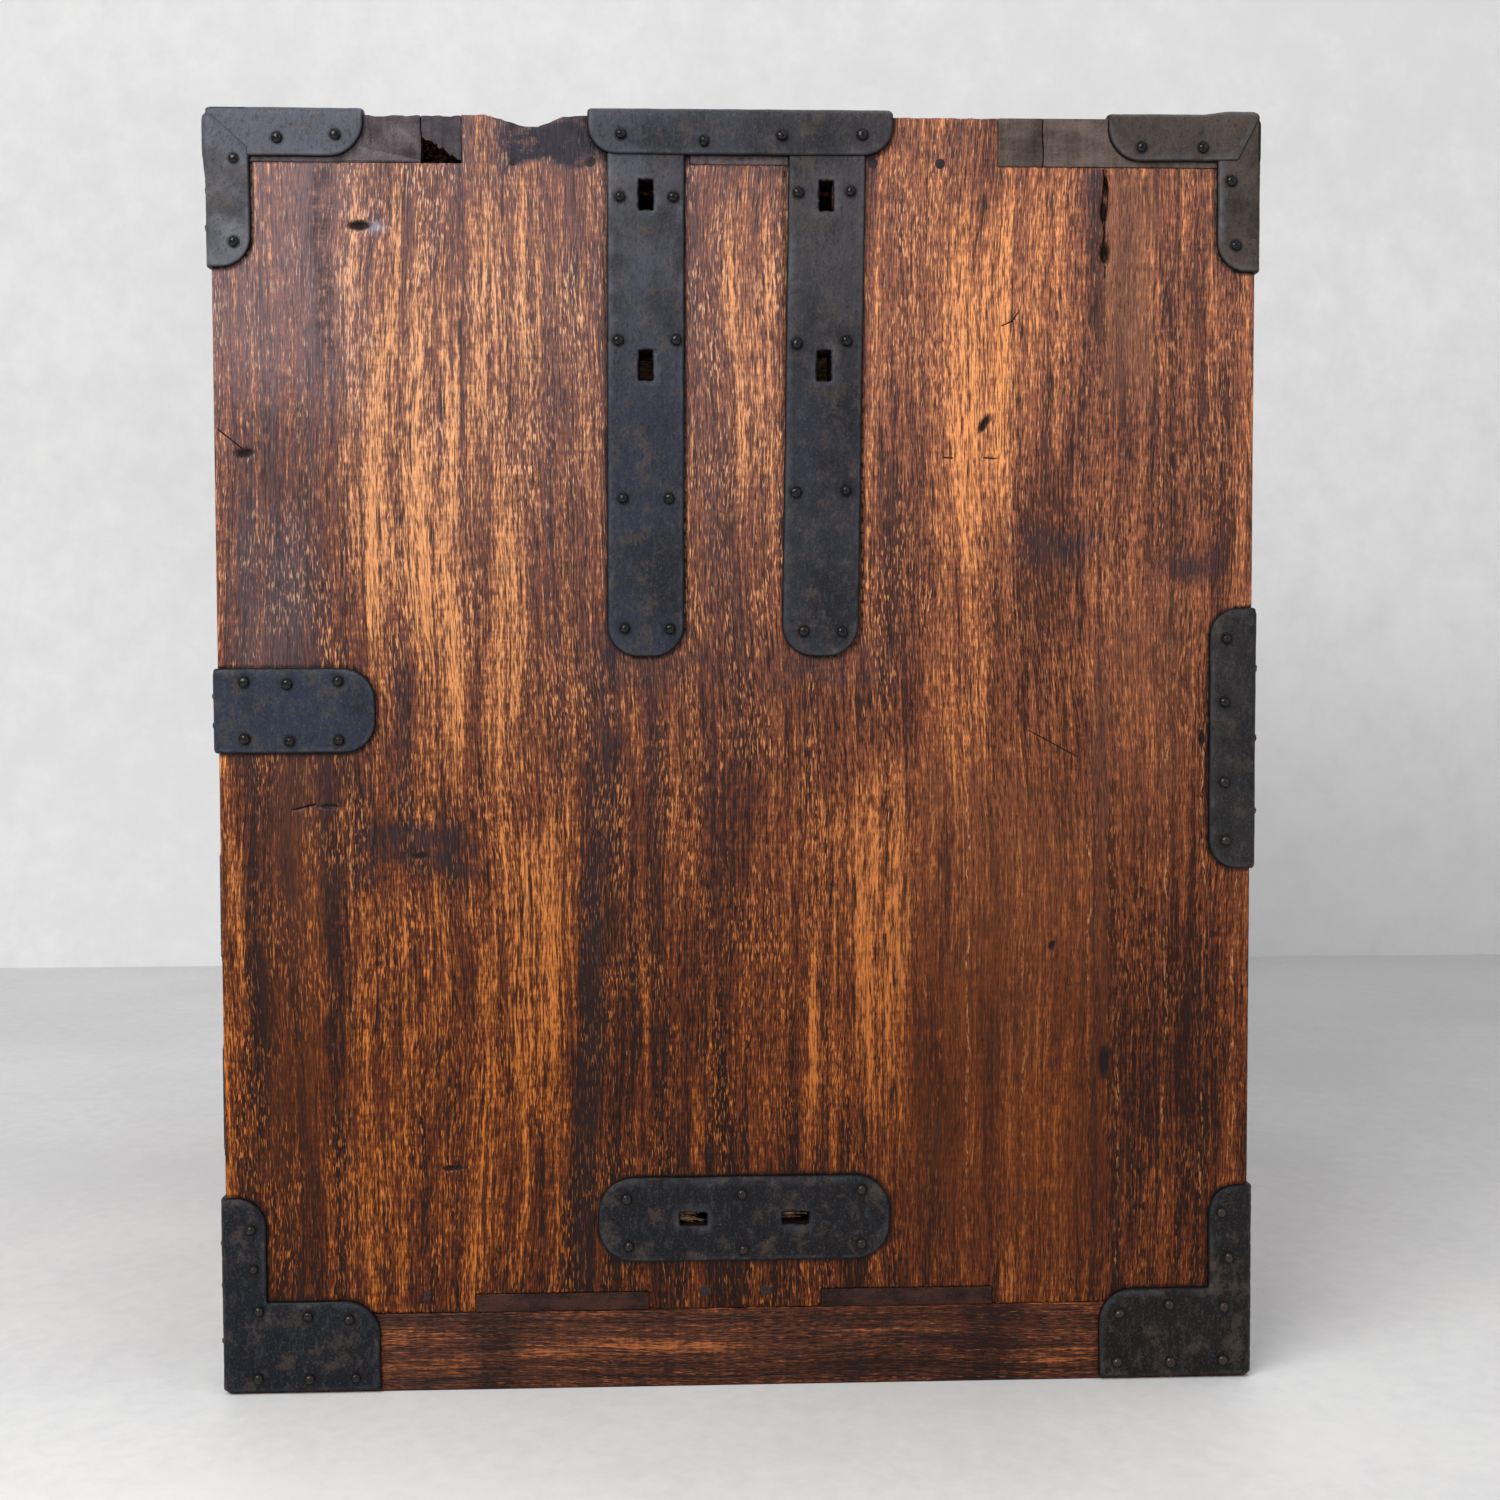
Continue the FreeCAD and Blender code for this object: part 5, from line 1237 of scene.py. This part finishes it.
placed = geo("GeometryNodeInstanceOnPoints", {
    "Points": lifted, "Instance": smooth, "Rotation": turn, "Scale": sizes})
solid = geo("GeometryNodeRealizeInstances", {"Geometry": placed})
finished = geo("GeometryNodeSetMaterial", {"Geometry": solid, "Material": given["Finish"]})
nail_maker.links.new(finished, out["Geometry"])

nail_iron, tree, shader = new_material("nail_iron", 0.18, 0.34)
cloud = grainy(object_place(tree), (420, 420, 420), 3.0, 0.6)
axes = axes_of(object_place(tree))
rusty = times(fade(axes["Z"], 0.34, 0.2), fade(axes["Y"], -0.1, 0.15, 0.3, 1.0))
heads = mix(fade(cloud, 0.35, 0.65), colour(4, 4, 5), colour(16, 15, 15))
tree.links.new(mix(rusty, heads, colour(44, 34, 31)), shader.inputs["Base Color"])


def nail_heads(name, nails, proud):
    """The heads of nails at places, made by the nail tree."""
    mesh = bpy.data.meshes.new(name)
    mesh.from_pydata([place for place, way in nails], [], [])
    ways = np.array([way for place, way in nails], np.float32)
    mesh.attributes.new("way", "FLOAT_VECTOR", "POINT").data.foreach_set("vector", ways.ravel())
    piece = in_scene(name, mesh)
    maker = piece.modifiers.new("nails", "NODES")
    maker.node_group = nail_maker
    maker[nail_inputs["Proud"].identifier] = proud * 0.001
    maker[nail_inputs["Finish"].identifier] = nail_iron
    return settled(piece)


for node, nails in side_nails.items():
    dress(nail_heads(f"{node}_forged", nails, 0.9), "carcase", "black_iron", node)

# ---------------------------------------------------------------- drawers and safe door
# Fronts of lacquered wood with level grain, boxes of pale unfinished wood, and corner plates,
# round lock plates and hanging bails of the same black iron.

front_wood = lacquered("front_lacquer", "Z", "X", "Y", (9.4, 3.6, 0.5), -0.12,
                       (colour(54, 29, 25), colour(98, 50, 32), colour(176, 96, 50)))[0]
# Wood without lacquer: wear, tones, painted sheen, roughness and relief.
BOX_FINISH = (0.2, (colour(128, 96, 68), colour(172, 136, 100), colour(196, 164, 124)), 0.0, 0.7, 0.0003)
box_wood = lacquered("drawer_box_wood", "Z", "Y", "X", (1.9, 6.1, 2.0), *BOX_FINISH)[0]
bottom_wood = lacquered("drawer_bottom_wood", "Y", "X", "Z", (7.9, 2.1, 2.0), *BOX_FINISH)[0]
for drawer in ("top_drawer", "middle_drawer", "lower_drawer"):
    for part_name, rub, wood, slot in (
            ("front", 1.2, front_wood, "front_wood"), ("walls", 0.6, box_wood, "drawer_wood"),
            ("bottom", 0.4, bottom_wood, "drawer_wood")):
        worn(f"{drawer}_{part_name}", rub, wood, drawer, slot)
worn("safe_door_panel", 1.2, front_wood, "safe_door", "front_wood")


def front_face(points, heights):
    """Places on the chest's front: a is x, b is z."""
    return np.stack([points[:, 0], FRONT_Y - heights, points[:, 1]], 1)


def petals(x, z, radius, lobes, depth):
    """A round outline with shallow lobes."""
    turns = np.linspace(0, 2 * math.pi, max(48, lobes * 8), endpoint=False)
    arms = radius - depth * (1 - np.abs(np.cos(lobes * turns / 2)))
    return [(x + arm * math.cos(t), z + arm * math.sin(t), 0) for t, arm in zip(turns, arms)]


def arc(x, z, radius, turns):
    """Points on a circle at the given angles."""
    return [(x + radius * math.cos(t), z + radius * math.sin(t)) for t in turns]


def keyhole(x, z):
    """A round hole with a slot below it."""
    return arc(x, z, 3.5, np.linspace(-1.1, math.pi + 1.1, 17)) + [(x - 1.6, z - 15), (x + 1.6, z - 15)]


FRONT_THICK = 1.7  # The plates on the fronts are thinner.


def front_irons(node, panel, body, locks, pins):
    """Corner plates, lock plates with a raised ring, and petalled washers under the eyes."""
    low, high = (np.array(corner) * 1000 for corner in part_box(panel))
    leaves = []
    for x, way_x in ((low[0], 1), (high[0], -1)):
        for z, way_z in ((low[2], 1), (high[2], -1)):
            shape = [(0.6, 0.6, 2), (41.4, 0.6, 2), (41.4, 14, 7), (14, 14, 0), (14, 41.4, 7), (0.6, 41.4, 2)]
            leaves.append(([(x + a * way_x, z + b * way_z, r) for a, b, r in shape], front_face, FRONT_THICK))
    for x, z, radius in locks:
        def boss(points, x=x, z=z, radius=radius):
            away = np.hypot(points[:, 0] - x, points[:, 1] - z)
            ring = np.exp(-((away - radius * 0.78) / 1.5) ** 2)
            return 0.5 * ring + 0.9 * np.clip(1 - away / radius / 0.7, 0, 1)
        leaves.append((petals(x, z, radius, 8, 1.2), front_face, FRONT_THICK, [keyhole(x, z)], boss))
    for x, z in pins:
        def flower(points, x=x, z=z):
            a, b = points[:, 0] - x, points[:, 1] - z
            away, turn = np.hypot(a, b), np.arctan2(b, a)
            return (0.25 * np.abs(np.cos(turn * 6)) * np.clip(away / 5, 0, 1) * np.clip((12 - away) / 4, 0, 1)
                    + 0.8 * np.clip(1 - away / 8, 0, 1))
        hole = arc(x, z, 2, np.linspace(0, 2 * math.pi, 16, endpoint=False))
        leaves.append((petals(x, z, 12, 12, 1.3), front_face, 1.5, [hole], flower))
    forge(f"{node}_forged", leaves, body, sort_nails(f"{body}_fasteners")[0], node)


def swept(name, path, radii, sides, material):
    """A round bar along a run of places in millimetres, with its own radius at each."""
    path = [Vector(p) for p in path]
    verts, faces = [], []
    up = Vector((0, 1, 0))
    for number, (here, radius) in enumerate(zip(path, radii)):
        ahead = (path[min(number + 1, len(path) - 1)] - path[max(number - 1, 0)]).normalized()
        across = ahead.cross(up).normalized()
        for k in range(sides):
            t = 2 * math.pi * k / sides
            verts.append(here + (across * math.cos(t) + up * math.sin(t)) * radius)
    for row in range(len(path) - 1):
        for k in range(sides):
            a, b = row * sides + k, row * sides + (k + 1) % sides
            faces.append((a, b, b + sides, a + sides))
    last = (len(path) - 1) * sides
    faces += [tuple(range(sides))[::-1], tuple(range(last, last + sides))]
    return new_piece(name, verts, faces, material)


def bail(node, x, z):
    """A forged bail: thin pins in the eyes, legs that swell into the grip."""
    knots = [(-41.2, 0, 1.7), (-45, 0, 1.7), (-47, -0.6, 1.9), (-48, -3, 2.4), (-48, -10, 2.4),
             (-48, -24, 2.5), (-46.6, -32.5, 2.7), (-42, -37.6, 2.8), (-34, -40, 2.9), (-18, -40.3, 3.3),
             (0, -40.4, 3.5)]
    knots += [(-a, b, r) for a, b, r in knots[-2::-1]]
    path, radii = [], []
    for number in range(len(knots) - 1):
        quad = [np.array(knots[min(max(number + k, 0), len(knots) - 1)], float) for k in (-1, 0, 1, 2)]
        for share in np.linspace(0, 1, 5)[:-1]:
            point = 0.5 * (2 * quad[1] + (quad[2] - quad[0]) * share
                           + (2 * quad[0] - 5 * quad[1] + 4 * quad[2] - quad[3]) * share ** 2
                           + (3 * quad[1] - quad[0] - 3 * quad[2] + quad[3]) * share ** 3)
            path.append((x + point[0], PIN_Y, z + point[1]))
            radii.append(point[2])
    path.append((x + knots[-1][0], PIN_Y, z))
    radii.append(knots[-1][2])
    dress(swept(f"{node}_forged", path, radii, 14, black_iron), node, "black_iron", node)


def fasteners(node, body, heads_name, rest_name, proud, rub):
    """A node's nail heads from the nail tree, and its eyes or pins with rubbed edges."""
    nails, others = sort_nails(node)
    dress(nail_heads(heads_name, nails, proud), body, "black_iron")
    shell = bmesh.new()
    for verts, faces in others:
        made = [shell.verts.new(v) for v in verts]
        for face in faces:
            shell.faces.new([made[v] for v in face])
    dress(rubbed(rest_name, shell, rub, black_iron), body, "black_iron", node)


# The bails' pins: where they stand on y, and how far from a bail's middle, in millimetres.
PIN_Y, PIN_SPREAD = -234.5, 43.1
# Each front's panel, its lock plates as x, z and radius, and its bails as x of the middle and z
# of the pins.
FRONTS = {
    "top_drawer": ("top_drawer_front", [(0, 490.5, 31)], {
        "top_drawer_left_bail": (-150.1, 441.9), "top_drawer_right_bail": (150.1, 441.9)}),
    "middle_drawer": ("middle_drawer_front", [(-134, 259.5, 23)], {"middle_drawer_bail": (-134, 239.5)}),
    "lower_drawer": ("lower_drawer_front", [(-134, 132, 23)], {"lower_drawer_bail": (-134, 112)}),
    "safe_door": ("safe_door_panel", [(65, 171.5, 23)], {"safe_door_bail": (162, 191.5)}),
}
for body, (panel, locks, bails) in FRONTS.items():
    pins = [(x + off, z) for x, z in bails.values() for off in (-PIN_SPREAD, PIN_SPREAD)]
    front_irons(f"{body}_irons", panel, body, locks, pins)
    for node, place in bails.items():
        bail(node, *place)
    fasteners(f"{body}_fasteners", body, f"{body}_nails", f"{body}_eyes", 0.2, 0.4)

# Hinges with rolled knuckles round an iron pin, and the lock behind the top drawer's front.
for node, body, rub in (
        ("door_hinge_leaves", "safe_door", 0.35), ("frame_hinge_leaves", "carcase", 0.35),
        ("top_drawer_lock_case", "top_drawer", 0.6), ("top_drawer_lock_bolt", "lock_bolt", 0.6)):
    worn(node, rub, black_iron, body, "black_iron", "forged")
fasteners("frame_hinge_pins_and_nails", "carcase", "frame_hinge_nails", "frame_hinge_pins", 0.1, 0.3)
